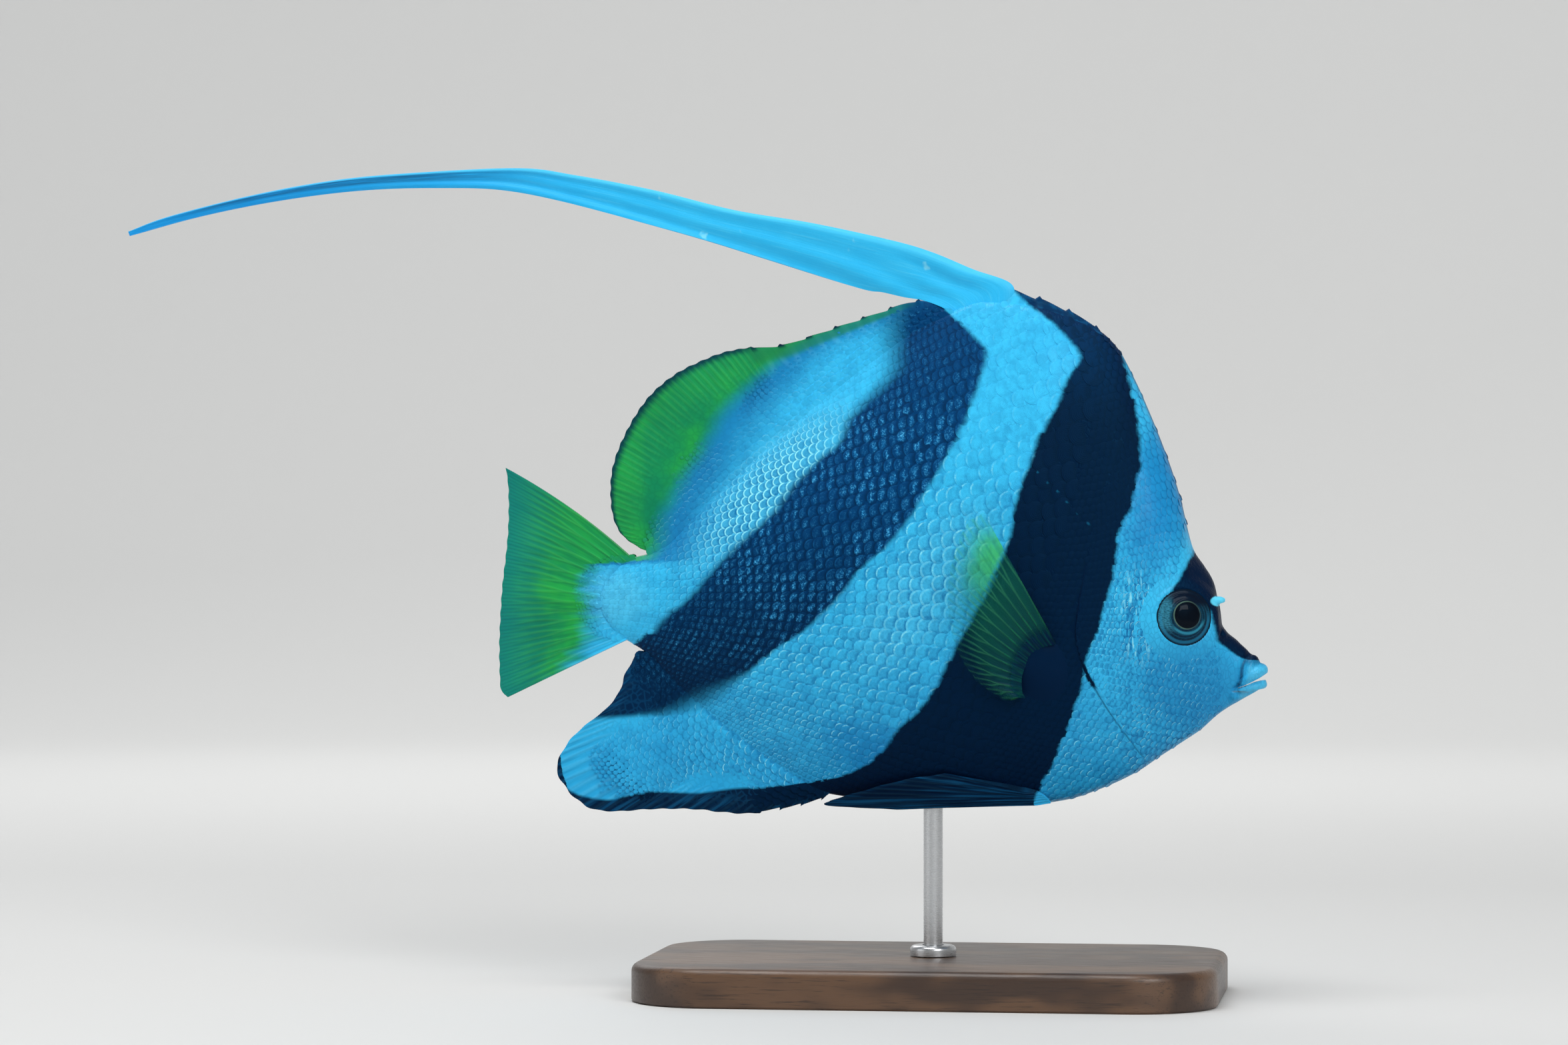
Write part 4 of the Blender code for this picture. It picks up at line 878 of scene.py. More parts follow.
def fanned_rows(meet, step, row, nearest, furthest, at_radius=SCALE_RADIUS, shrink=0.7, finer=None,
                stagger=0.0):
    """Places along rows that fan out from one point: x, unrolled height, slope and both spacings."""
    fineness = curve_of(finer) if finer else np.ones_like
    angles = [(0.0, 0)]
    for way in (1, -1):
        angle, number = 0.0, 0
        while abs(angle) < 1.3:
            angle += way * row / at_radius * float(fineness(np.degrees(angle)))
            number += 1
            angles.append((angle, number))
    places = []
    for angle, number in angles:
        fine = float(fineness(np.degrees(angle)))
        r = nearest + stagger * (number % 2) * step
        while r < furthest:
            gap = step * (r / at_radius) ** shrink * fine
            places.append((meet[0] + r * math.cos(angle), meet[1] + r * math.sin(angle), angle, gap,
                           r / at_radius * row * fine))
            r += gap
    return np.array(places)


def seats_of(lattice, keep, smaller=None):
    """Seats on one flank: place, normal, way to the tail, length, width, bake place, share of height."""
    xs = np.linspace(-88.0, 86.0, 240)
    heights, arcs = arc_table(xs)
    x, arc = lattice[:, 0], lattice[:, 1]
    inside = (x > -86.5) & (x < 78.0)
    lattice, x, arc = lattice[inside], x[inside], arc[inside]
    low = np.clip(np.searchsorted(xs, x) - 1, 0, len(xs) - 2)
    share = (x - xs[low]) / (xs[low + 1] - xs[low])
    z = np.array([
        (1 - s) * np.interp(a, arcs[i], heights[i], np.nan, np.nan)
        + s * np.interp(a, arcs[i + 1], heights[i + 1], np.nan, np.nan)
        for s, a, i in zip(share, arc, low)
    ])
    to_edge = np.minimum(arc - arcs[low, 0], arcs[low, -1] - arc)
    kept = np.isfinite(z) & (to_edge > np.where(x < 22.0, 0.25, 1.1))
    kept[kept] = keep(x[kept], z[kept])
    lattice, x, arc, z, to_edge = lattice[kept], x[kept], arc[kept], z[kept], to_edge[kept]
    y = side_at(x, z, gill_rise(x, z)) - COAT_DEPTH
    towards = np.stack([-np.cos(lattice[:, 2]), np.zeros(len(x)), -np.sin(lattice[:, 2])], -1)
    factor = np.clip(0.6 + 0.4 * to_edge / 5.0, 0.6, 1.0)
    if smaller:
        factor = factor * smaller(x, z)
    return np.column_stack([x, y, z, side_normal(x, z), towards, lattice[:, 3] * factor,
                            lattice[:, 4] * factor, x, arc, 0.45 + 0.55 * ease(to_edge / 6.0)])


def trunk_seats():
    edge = curve_of(SHOULDER_EDGE)
    rows = fanned_rows(ROWS_MEET, SCALE_STEP, SCALE_ROW, 38.0, 200.0, finer=ROW_FINENESS)
    return seats_of(rows, lambda x, z: (x < edge(z)) & (x < gill_x(z) - 1.2))


def fine_seats():
    """The smaller scales of shoulder, nape and chest, and those of the face ahead of the gill edge."""
    edge = curve_of(SHOULDER_EDGE)

    def bare(z):
        return 0.8 * (1 - ease((z - 50.0) / 24.0))

    def on_shoulder(x, z):
        return (x >= edge(z) - 0.6) & (x < gill_x(z) - bare(z))

    def on_face(x, z):
        off_eye = np.hypot(x - EYE_X, z - EYE_Z) > EYE_RADIUS + 2.0
        off_brow = ~((z > 58) & (z < 74) & (x > 61.5 + (z - 58) * 0.3))
        off_snout = x < 75.5 - 0.14 * np.abs(z - 36)
        return (x > gill_x(z) + bare(z)) & off_eye & off_brow & off_snout

    shoulder = fanned_rows(ROWS_MEET, SHOULDER_STEP, SHOULDER_ROW, 130.0, 205.0, shrink=0.2, stagger=0.5)
    face = fanned_rows(FACE_ROWS_MEET, FACE_STEP, FACE_ROW, 60.0, 112.0, FACE_RADIUS, 0.2, stagger=0.5)
    return np.vstack([
        seats_of(shoulder, on_shoulder),
        seats_of(face, on_face, lambda x, z: 1 - 0.35 * ease((x - 60) / 12.0)),
    ])


def fin_scale_seats(grid, first_size, last_size, limit, fade_from):
    """Seats of the small scales that climb a fin from its base, along its rays."""
    points, half, uv = grid
    columns, rows, _ = points.shape
    normal, run, count = grid_normals(points), arc_lengths(points), np.arange(rows)
    start = np.array([line[int(np.interp(0.0, pairs[:, 1], count))] for line, pairs in zip(run, uv)])
    reach = limit(np.linspace(0, 1, columns)) * (run[:, -1] - start)
    draw = np.random.default_rng(columns)
    far, seats, row = 0.0, [], 0
    while far < reach.max():
        size = first_size + (last_size - first_size) * min(far / reach.max(), 1)
        index = [np.interp(s + far, line, count) for s, line in zip(start, run)]
        line = np.array([[np.interp(at, count, column[:, k]) for k in range(3)]
                         for at, column in zip(index, points)])
        along = arc_lengths(line)
        for a in np.arange((row % 2) * size * 0.55, along[-1], size * 1.12):
            c = float(np.interp(a, along, np.arange(columns)))
            i = min(int(c), columns - 2)
            j = int(min(index[i], rows - 2))
            if far >= reach[i] * draw.uniform(0.86, 1.0):
                continue
            fading = 1 - 0.65 * ease((far / reach[i] - fade_from) / (1 - fade_from)) * draw.uniform(0.75, 1.0)
            f = c - i
            spot = line[i] * (1 - f) + line[i + 1] * f
            ray = unit(points[i, j + 1] - points[i, j])
            seats.append([*(spot + normal[i, j] * (half[i, j] - 0.02)), *normal[i, j], *ray, size * fading,
                          size * 1.12 * fading, spot[0], spot[2], 1.0])
        far += size
        row += 1
    return np.array(seats)


def scale_cover_tree():
    """Sets one plate on each seat, tips each a little at random and joins them all."""
    tree = bpy.data.node_groups.new("scale cover", "GeometryNodeTree")
    for name, kind, way in (
        ("Seats", "NodeSocketGeometry", "INPUT"), ("Plate", "NodeSocketObject", "INPUT"),
        ("Finish", "NodeSocketMaterial", "INPUT"), ("Tip", "NodeSocketFloat", "INPUT"),
        ("Seed", "NodeSocketInt", "INPUT"), ("Cover", "NodeSocketGeometry", "OUTPUT"),
    ):
        tree.interface.new_socket(name, in_out=way, socket_type=kind)
    w = Wiring(tree)
    given, result = w.node("NodeGroupInput"), w.node("NodeGroupOutput")

    def add(kind, values, output=0, **settings):
        return w.fill(w.node(kind, **settings), values, output)

    turn, size = [add("GeometryNodeInputNamedAttribute", {"Name": name}, "Attribute",
                      data_type="FLOAT_VECTOR") for name in ("turn", "size")]
    tip = add("FunctionNodeRandomValue", {0: (-1, -1, -1), 1: (1, 1, 1), "Seed": given.outputs["Seed"]},
              data_type="FLOAT_VECTOR")
    tipped = add("ShaderNodeVectorMath", {0: tip, "Scale": given.outputs["Tip"]}, operation="SCALE")
    placed = add("GeometryNodeInstanceOnPoints", {
        "Points": add("GeometryNodeMeshToPoints", {"Mesh": given.outputs["Seats"]}),
        "Instance": add("GeometryNodeObjectInfo", {"Object": given.outputs["Plate"]}, "Geometry"),
        "Rotation": w.vector("ADD", turn, tipped), "Scale": size,
    })
    real = add("GeometryNodeRealizeInstances", {"Geometry": placed})
    cover = add("GeometryNodeSetMaterial", {"Geometry": real, "Material": given.outputs["Finish"]})
    w.feed(result.inputs["Cover"], cover)
    return tree


def scale_cover(name, seats, side, plate, tree, finish, thickness, seed):
    """The scales of one flank as one mesh, with the patches of its bake map."""
    mirror = np.array([1.0, side, 1.0])
    draw = np.random.default_rng(seed)
    count = len(seats)
    places = seats[:, 0:3] * mirror
    normal, towards = unit(seats[:, 3:6] * mirror), seats[:, 6:9] * mirror
    root_way = unit(-(towards - (towards * normal).sum(1)[:, None] * normal))
    across = np.cross(normal, root_way)
    drift = draw.normal(0, 0.04, (count, 2)) * seats[:, 9:11]
    places = places + root_way * drift[:, :1] + across * drift[:, 1:]
    turns = [Matrix((tuple(a), tuple(b), tuple(c))).transposed().to_euler()
             for a, b, c in zip(root_way, across, normal)]
    grow = draw.uniform(0.94, 1.08, count)
    length, width = seats[:, 9] * grow * 1.62, seats[:, 10] * grow * 1.3
    high = thickness * (0.25 + 0.75 * np.minimum(seats[:, 9] / 2.6, 1.0)) * seats[:, 13]
    on_nape = 30.0 * ease((seats[:, 0] - 44.0) / 8.0)
    high = high * (1 - 0.6 * ease((seats[:, 2] + on_nape - 84.0) / 24.0) * ease((seats[:, 0] + 20.0) / 20.0))
    high = high * (1 - 0.4 * ease((seats[:, 0] - 42.0) / 10.0))
    obj = mesh_object(name, metres(places), [])
    patch_x, patch_y = 0.1 + (seats[:, 11] + 105.0) / 230.0, 0.05 + seats[:, 12] / 190.0
    for label, values in (
        ("turn", [tuple(t) for t in turns]), ("size", np.column_stack([length, width, high]) * MM),
        ("root", metres(places)), ("patch", np.column_stack([patch_x, patch_y, np.zeros(count)])),
        ("chance", draw.uniform(0, 1, (count, 3))),
    ):
        add_vectors(obj.data, label, values)
    step = obj.modifiers.new("cover", "NODES")
    step.node_group = tree
    wanted = {"Plate": plate, "Finish": finish, "Tip": 0.035, "Seed": seed}
    for socket in tree.interface.items_tree:
        if socket.in_out == "INPUT" and socket.name in wanted:
            step[socket.identifier] = wanted[socket.name]
    mesh_after_modifiers(obj)
    mesh = obj.data
    spot, patch = read_vectors(mesh, "spot"), read_vectors(mesh, "patch")
    add_uv(mesh, "OFBake", patch[:, :2] + (spot[:, :2] - 0.5) * PATCH)
    mesh.shade_smooth()
    mesh.set_sharp_from_angle(angle=math.radians(48))
    return obj


# Finishes
GILL_LINE = [(-6.0, 60.0)] + sorted((z, x) for x, z in GILL_EDGE) + [(142.0, 66.0)]
JAW_LINE = [(-6.0, 76.0)] + sorted((z, x) for x, z in JAW_CREASE) + [(142.0, 90.0)]
# The fish's white, then a white of painted shade, and a white for painted highlights and sheen
WHITE, SHADED_WHITE, HIGHLIGHT_WHITE = (0.045, 0.56, 0.93, 1), (0.006, 0.24, 0.58, 1), (0.26, 0.86, 0.99, 1)
COOL_GREY, BLACK, NAVY = (0.004, 0.16, 0.42, 1), (0.0005, 0.006, 0.028, 1), (0.001, 0.042, 0.15, 1)
YELLOW, GREEN = (0.022, 0.41, 0.055, 1), (0.004, 0.21, 0.10, 1)
WATER_SHINE = (0.08, 0.5, 1.0, 1)
MAP_LOW, MAP_SPAN = -120.0, 270.0
# The sheen output is a painted sheen and the glint output is painted glints
MARKS = ("Colour", "Black", "Yellow", "Painted sheen", "Painted glint")


class Term:
    """A value in a node tree, written like a number: a | b is the larger and a & b the smaller."""

    def __init__(self, wiring, socket):
        self.wiring, self.socket = wiring, socket

    def __add__(self, other):
        return self.wiring.math("ADD", self, other)

    def __sub__(self, other):
        return self.wiring.math("SUBTRACT", self, other)

    def __rsub__(self, other):
        return self.wiring.math("SUBTRACT", other, self)

    def __mul__(self, other):
        return self.wiring.math("MULTIPLY", self, other)

    def __or__(self, other):
        return self.wiring.math("MAXIMUM", self, other)

    def __and__(self, other):
        return self.wiring.math("MINIMUM", self, other)

    def __abs__(self):
        return self.wiring.math("ABSOLUTE", self)

    __radd__ = __add__


class Wiring:
    """Short calls that add nodes to a tree and join them."""

    def __init__(self, tree):
        self.tree = tree

    def node(self, kind, **settings):
        made = self.tree.nodes.new(kind)
        for key, value in settings.items():
            setattr(made, key, value)
        return made

    def feed(self, socket, value):
        value = getattr(value, "socket", value)
        if isinstance(value, bpy.types.NodeSocket):
            self.tree.links.new(value, socket)
        else:
            socket.default_value = value

    def fill(self, made, values, output=0):
        """Feeds inputs by their names or numbers, and gives one output as a term."""
        for key, value in values.items():
            self.feed(made.inputs[key], value)
        return Term(self, made.outputs[output])

    def math(self, operation, *values, clamp=False):
        made = self.node("ShaderNodeMath", operation=operation, use_clamp=clamp)
        return self.fill(made, dict(enumerate(values)))

    def step(self, value, low, high, start=0.0, end=1.0):
        """Climbs smoothly from start to end while the value goes from low to high."""
        made = self.node("ShaderNodeMapRange", interpolation_type="SMOOTHSTEP")
        return self.fill(made, dict(enumerate((value, low, high, start, end))))

    def mix(self, share, first, second):
        made = self.node("ShaderNodeMix", data_type="RGBA")
        return self.fill(made, {0: share, 6: first, 7: second}, 2)

    def vector(self, operation, *values):
        made = self.node("ShaderNodeVectorMath", operation=operation)
        number = operation in ("LENGTH", "DISTANCE", "DOT_PRODUCT")
        return self.fill(made, dict(enumerate(values)), "Value" if number else "Vector")

    def noise(self, place, scale, detail=2.0, rough=0.5):
        made = self.node("ShaderNodeTexNoise")
        return self.fill(made, {"Vector": place, "Scale": scale, "Detail": detail, "Roughness": rough})

    def cell_border(self, place, scale):
        """Distance to the nearest border between small cells."""
        made = self.node("ShaderNodeTexVoronoi", feature="DISTANCE_TO_EDGE")
        return self.fill(made, {"Vector": place, "Scale": scale}, "Distance")

    def split(self, vector):
        made = self.node("ShaderNodeSeparateXYZ")
        self.feed(made.inputs[0], vector)
        return [Term(self, socket) for socket in made.outputs]

    def fish_place(self, place):
        """The parts of a place in the fish's own frame, in millimetres."""
        x, y, z = self.split(place)
        return x * (1 / MM), y * (1 / MM), z * (1 / MM) - FISH_LIFT

    def curve(self, value, points):
        """A drawn curve through points that all lie within the map's span, in millimetres."""
        share = self.math("DIVIDE", value - MAP_LOW, MAP_SPAN)
        made = self.node("ShaderNodeFloatCurve")
        line = made.mapping.curves[0]
        spots = [((a - MAP_LOW) / MAP_SPAN, (b - MAP_LOW) / MAP_SPAN) for a, b in points]
        line.points[0].location, line.points[-1].location = (0.0, spots[0][1]), (1.0, spots[-1][1])
        for spot in spots:
            line.points.new(*spot)
        for point in line.points:
            point.handle_type = "AUTO_CLAMPED"
        made.mapping.update()
        return self.fill(made, {"Value": share}) * MAP_SPAN + MAP_LOW

    def bump(self, height, strength, distance):
        made = self.node("ShaderNodeBump")
        return self.fill(made, {"Strength": strength, "Distance": distance, "Height": height})


def markings():
    """The fish's bands and colours, with painted shade, sheen and glints, for a place in the row frame,
    shared by skin, scales and fins.
    """
    found = bpy.data.node_groups.get("bannerfish markings")
    if found:
        return found
    tree = bpy.data.node_groups.new("bannerfish markings", "ShaderNodeTree")
    tree.interface.new_socket("Place", in_out="INPUT", socket_type="NodeSocketVector")
    for name in MARKS:
        kind = "NodeSocketColor" if name == "Colour" else "NodeSocketFloat"
        tree.interface.new_socket(name, in_out="OUTPUT", socket_type=kind)
    w = Wiring(tree)
    given, result = w.node("NodeGroupInput"), w.node("NodeGroupOutput")
    place = given.outputs["Place"]
    true_x, y, true_z = w.fish_place(place)
    rough = w.noise(place, 420, 4, 0.7) - 0.5
    broad = w.noise(place, 60, 2, 0.5) - 0.5
    x, z = true_x + rough * 1.7, true_z + broad * 1.2

    def ahead_of(points, soft):
        return w.step(x - w.curve(z, points), -soft, soft)

    def behind(points, soft):
        return w.step(w.curve(z, points) - x, -soft, soft)

    def spot(at_x, at_z, radius_x, radius_z, lean=0.0):
        dx, dz = true_x - at_x, true_z - at_z
        cos, sin = math.cos(math.radians(lean)), math.sin(math.radians(lean))
        u = dx * (cos / radius_x) + dz * (sin / radius_x)
        v = dz * (cos / radius_z) - dx * (sin / radius_z)
        return w.step(u * u + v * v, 1.0, 0.0)

    # Bands, hem, face and gill flap
    under_banner = w.step(w.curve(true_x, BANNER_HEM) - true_z, -0.25, 0.25)
    soft_behind, soft_ahead = w.step(z, 96, 126, 2.0, 6.0), w.step(x, -44.0, -66.0, 1.1, 11.0)
    rear = w.step(x - w.curve(z, REAR_BAND_BEHIND), soft_behind * -1.0, soft_behind) * under_banner
    rear = rear * w.step(w.curve(z, REAR_BAND_AHEAD) - x, soft_ahead * -1.0, soft_ahead)
    rear = rear * (w.step(x, -77.0, -75.0) | w.step(x * 0.75 - (z - 103.5), -0.8, 0.8))
    front = behind(FRONT_BAND_AHEAD, 0.7) * ahead_of(FRONT_BAND_BEHIND, 1.0)
    hem = w.step(w.curve(x, BLACK_HEM) - z, -0.5, 0.5)
    ridge = w.step(abs(y), 2.4, 0.9) * w.step(z, 70, 76) * w.step(x, 46, 50) * 0.6
    flap = w.step(abs(true_x - w.curve(true_z, GILL_LINE)), 0.9, 0.3)
    flap = flap * w.step(z, 33.2, 35.0) * w.step(z, 43.0, 40.0)
    black = front | rear | hem | ahead_of(FACE_DARK, 0.7) | ridge | flap

    # Yellow of the soft dorsal and tail fins, with a grey fringe
    in_dorsal = w.step(z, 62, 66) * under_banner
    yellow_line = w.curve(z, YELLOW_DORSAL) - x + broad * 2.5
    streaks = w.noise(w.vector("MULTIPLY", place, (0.2, 1.0, 1.0)), 330, 3) - 0.5
    tail_line = w.curve(z, YELLOW_TAIL) - x + streaks * 14.0
    in_tail = w.step(-76.0 - x, -1.0, 1.0)
    yellow = w.step(yellow_line, -4.5, 4.0) * in_dorsal | w.step(tail_line, -5.0, 4.5) * in_tail
    fringe = w.step(yellow_line, -18.0, -3.0) * in_dorsal * 0.8
    grey = fringe | w.step(tail_line, -9.0, 1.0) * in_tail * 0.3 | spot(68.0, 35.0, 19.0, 16.0) * 0.6

    # White, with painted shade and some random tone that deepen it below, on the belly and on the forehead,
    # and a painted sheen between the bands and behind them
    painted_shade = w.step(z, 56, 4) * 0.48 | spot(-6.0, 12.0, 34.0, 15.0, -24.0) * 0.85
    painted_shade = (painted_shade | spot(61.0, 88.0, 12.0, 32.0, -14.0) * 0.85) + broad * 0.5
    painted_sheen = spot(-42.0, 86.0, 36.0, 12.0, 44.0) | spot(0.0, 60.0, 14.0, 34.0, -38.0) * 0.5
    colour = w.mix(painted_sheen * 0.2, w.mix(painted_shade, WHITE, SHADED_WHITE), HIGHLIGHT_WHITE)
    # A painted highlight on the tail stalk
    colour = w.mix(spot(-84.0, 57.0, 13.0, 9.0) * 0.2, colour, HIGHLIGHT_WHITE)
    colour = w.mix(grey, colour, COOL_GREY)
    green = w.mix(w.step(w.noise(place, 90, 3), 0.3, 0.7), GREEN, YELLOW)
    bright = w.mix(in_tail * 0.4, w.mix(0.45, GREEN, YELLOW), YELLOW)
    colour = w.mix(yellow, colour, w.mix(w.step(yellow_line, 0.0, 14.0, 0.2, 0.7), green, bright))
    # The black turns navy on the rear band, more so towards its top, and a little near the back: partly the
    # band's own tone, partly painted light from above
    bluer = rear * w.step(z, 24, 96, 0.15, 1.0) | w.step(z, 100, 130, 0.0, 0.4)
    colour = w.mix(black, colour, w.mix(bluer, BLACK, NAVY))

    # Pores of the flank's sense line, in one slanting row
    line = (true_x - 27.9) * 0.73 + (true_z - 90.3) * 0.684
    run = (true_x - 27.9) * 0.684 - (true_z - 90.3) * 0.73
    dots = w.step(w.math("SINE", run * 1.7 + rough * 4.0), 0.6, 1.0) * w.step(abs(line), 0.4, 0.1)
    dots = dots * w.step(run, -1.0, 0.5) * w.step(run, 23.0, 21.0)
    colour = w.mix(dots * 0.32, colour, (0.01, 0.2, 0.38, 1))
    # Painted glints on the rear band's scales: faint low down, full from mid height and weaker near the top
    painted_glint = rear * w.step(z, 24, 66, 0.1, 1.0) * w.step(z, 128, 106, 0.35, 1.0)
    for name, value in zip(MARKS, (colour, black, yellow, painted_sheen, painted_glint)):
        w.feed(result.inputs[name], value)
    return tree


def new_finish(name, shine=None):
    """A material with its wiring, its shader and the place that its patterns read."""
    made = bpy.data.materials.new(name)
    made.use_nodes = True
    w = Wiring(made.node_tree)
    shader = made.node_tree.nodes["Principled BSDF"]
    if shine:
        shader.inputs["Specular Tint"].default_value = shine
    return made, w, shader, w.node("ShaderNodeTexCoord").outputs["Object"]


def paint(w, place):
    made = w.node("ShaderNodeGroup", node_tree=markings())
    w.feed(made.inputs["Place"], place)
    return [Term(w, made.outputs[name]) for name in MARKS]


def attribute(w, name):
    return w.node("ShaderNodeAttribute", attribute_name=name).outputs["Vector"]


def lie(w):
    """The UV map of a fin or an eye, and its two parts."""
    uv = w.node("ShaderNodeUVMap", uv_map="Lie").outputs[0]
    across, along, _ = w.split(uv)
    return uv, across, along


def skin_finish():
    """Skin between and beyond the scales: fine cells and pores, painted shade in the creases of the mouth and
    a painted highlight on the upper lip.
    """
    made, w, shader, place = new_finish("wet skin", WATER_SHINE)
    colour, black, _, _, _ = paint(w, place)
    fine = w.noise(place, 900, 4, 0.6)
    border = w.step(w.cell_border(w.vector("MULTIPLY", place, (1.25, 1.0, 0.75)), 780), 0.14, 0.02)
    off_black = 1.0 - black
    colour = w.mix((fine * 0.22 + border * 0.2) * off_black, colour, (0.008, 0.15, 0.38, 1))
    x, y, z = w.fish_place(place)
    crease = x - w.curve(z, JAW_LINE)
    # Painted shade in the jaw crease and along the top of the upper lip
    dark = w.step(abs(crease + 0.1), 0.75, 0.1) * w.step(z, 33.6, 35.5) * w.step(z, 43.6, 42.2)
    shade_on_lip_top = w.step(z, 39.2, 41.0) * w.step(crease, -0.2, 0.3)
    colour = w.mix((dark * 0.75 | shade_on_lip_top * 0.6) * off_black, colour, (0.004, 0.04, 0.12, 1))
    # A painted highlight on the middle of the upper lip
    lip = w.step(crease, 0.9, 2.0) * w.step(z, 40.6, 38.8)
    colour = w.mix(lip * off_black * 0.15, colour, HIGHLIGHT_WHITE)
    corner = w.step(abs(z - 33.2), 0.32, 0.1) * w.step(x, 77.2, 78.2) * w.step(x, 81.6, 80.2)
    colour = w.mix(corner * 0.5, colour, (0.12, 0.14, 0.1, 1))
    seam = w.step(abs(x - w.curve(z, GILL_LINE)), 0.5, 0.12) * w.step(z, 36.0, 34.0) * off_black
    colour = w.mix(seam * 0.4, colour, (0.01, 0.06, 0.16, 1))
    nub = w.vector("DISTANCE", w.vector("MULTIPLY", place, (435.0, 0.0, 690.0)), (32.4, 0.0, 70.7))
    colour = w.mix(w.step(nub, 1.1, 0.85) * w.step(abs(y), 1.0, 2.0), colour, (0.12, 0.68, 0.95, 1))
    grain = w.noise(place, 1600, 3, 0.6) * 0.8 - border
    w.fill(shader, {
        "Base Color": colour, "Roughness": 0.34 + fine * 0.2, "Specular IOR Level": 0.22,
        "Coat Weight": w.step(black, 0.0, 1.0, 0.2, 0.0), "Coat Roughness": 0.25,
        "Normal": w.bump(grain, 0.4, 0.00012),
    })
    return made


def scale_finish():
    """Scales: thin painted highlights on their rims on white, painted shade under the next scales, and
    speckled painted glints that lean forward on the rear band.
    """
    made, w, shader, place = new_finish("scales", WATER_SHINE)
    root, spot, chance = attribute(w, "root"), attribute(w, "spot"), attribute(w, "chance")
    near_root = w.fill(w.node("ShaderNodeMix", data_type="VECTOR"), {0: 0.06, 4: place, 5: root}, 1)
    ragged = w.vector("MULTIPLY_ADD", chance, (0.0006, 0.0, 0.0004), (-0.0003, 0.0, -0.0002))
    colour, black, yellow, painted_sheen, painted_glint_share = paint(w, w.vector("ADD", near_root, ragged))
    first, second, _ = w.split(chance)
    on_plate = w.vector("MULTIPLY_ADD", spot, (2.0, 2.0, 0.0), (-1.0, -1.0, 0.0))
    far = w.vector("LENGTH", on_plate)
    speck = w.noise(place, 1700, 4, 0.75)
    grain = w.noise(place, 2600, 3, 0.8)
    patch = w.step(w.noise(root, 42, 2), 0.36, 0.64)

    # A painted glint on each scale of the rear band: a speckled patch that leans forward
    off_middle = w.vector("SUBTRACT", on_plate, (-0.45, 0.12, 0.0))
    bend = (w.noise(place, 640, 3, 0.6) - 0.5) * 1.6
    long_way = abs(w.vector("DOT_PRODUCT", off_middle, (0.35, 0.94, 0.0)) + bend)
    short_way = abs(w.vector("DOT_PRODUCT", off_middle, (0.94, -0.35, 0.0)) + bend)
    painted_glint = w.step(short_way, 0.42, 0.0) * w.step(long_way, 0.95, 0.2) * w.step(grain, 0.36, 0.6, 0.15, 1.0)
    painted_glint = painted_glint * w.step(first, 0.0, 0.8, 0.25, 1.0) * w.step(patch, 0.0, 1.0, 0.35, 1.0) * painted_glint_share

    # Painted shade under the next scales, a painted highlight on the rim's edge, and a painted net of bright
    # rims in the painted sheen
    ahead = w.vector("DISTANCE", on_plate, (1.23, 0.0, 0.0))
    below = w.vector("DISTANCE", on_plate, (0.0, -1.53, 0.0))
    under = w.step(ahead, 1.42, 1.02) | w.step(below, 1.36, 1.02) * 0.8
    off_rim = abs(far - 0.88)
    tail_and_back = w.vector("DOT_PRODUCT", on_plate, (-0.8, 0.6, 0.0))
    edge = w.step(off_rim, 0.13, 0.03) * w.step(tail_and_back, 0.35, 0.8)
    edge = edge * w.step(grain, 0.34, 0.58) * w.step(w.noise(place, 380, 2), 0.42, 0.6)
    rim, painted_sheen = w.step(off_rim, 0.17, 0.04), painted_sheen * painted_sheen
    painted_rim_net = rim * w.step(w.vector("DOT_PRODUCT", on_plate, (-0.9, 0.3, 0.0)), 0.0, 0.5)
    painted_rim_net = painted_rim_net * painted_sheen * w.step(grain, 0.3, 0.52)

    # On the black bands: painted glints with brighter specks, painted highlights on the rims, then painted
    # shade under the next scales
    on_black = w.mix(painted_glint * 0.95, colour, (0.012, 0.21, 0.52, 1))
    on_black = w.mix(painted_glint * w.step(grain, 0.5, 0.64) * 0.9, on_black, (0.1, 0.52, 0.84, 1))
    on_black = w.mix(edge * painted_glint_share * 0.5, on_black, (0.01, 0.14, 0.36, 1))
    on_black = w.mix(under * 0.45, on_black, (0.0005, 0.004, 0.016, 1))

    # Calm near the back, the nape and the tail; cells on the face, and wrinkles behind the eye with darker
    # lines and painted highlights
    root_x, _, height = w.split(root)
    calm = w.step(height + ((root_x - 0.045) | 0.0) * 1.6, 0.112, 0.156, 1.0, 0.25)
    calm = calm & w.step(root_x, -0.058, -0.08, 1.0, 0.35)
    # Tone on white: painted shade under the next scales with random tone, specks and mottle, darker centres
    # inside the painted net of rims, face cells and wrinkle lines
    tone = (under * 0.36 + second * 0.18 + w.step(speck, 0.62, 0.35) * 0.2) * calm
    tone = tone + w.step(w.noise(place, 330, 4, 0.7), 0.6, 0.4) * 0.2
    tone = tone + w.math("SUBTRACT", painted_sheen, rim, clamp=True) * 0.3
    tone = tone + w.step(far, 0.62, 0.95) * w.step(root_x, 0.044, 0.054) * 0.4
    behind_eye = w.vector("DISTANCE", w.vector("MULTIPLY", place, (200.0, 0.0, 75.0)), (10.8, 0.0, 7.4))
    behind_eye = w.step(behind_eye, 1.15, 0.5)
    wrinkles = w.noise(w.vector("MULTIPLY", place, (1.0, 1.0, 0.14)), 1300, 2)
    tone = tone + w.step(wrinkles, 0.5, 0.42) * behind_eye * 0.35
    on_white = w.mix(tone * (1.0 - yellow * 0.6), colour, (0.006, 0.16, 0.4, 1))
    # Painted highlights along the wrinkles behind the eye
    on_white = w.mix(w.step(wrinkles, 0.55, 0.66) * behind_eye * 0.7, on_white, (0.35, 0.88, 0.98, 1))
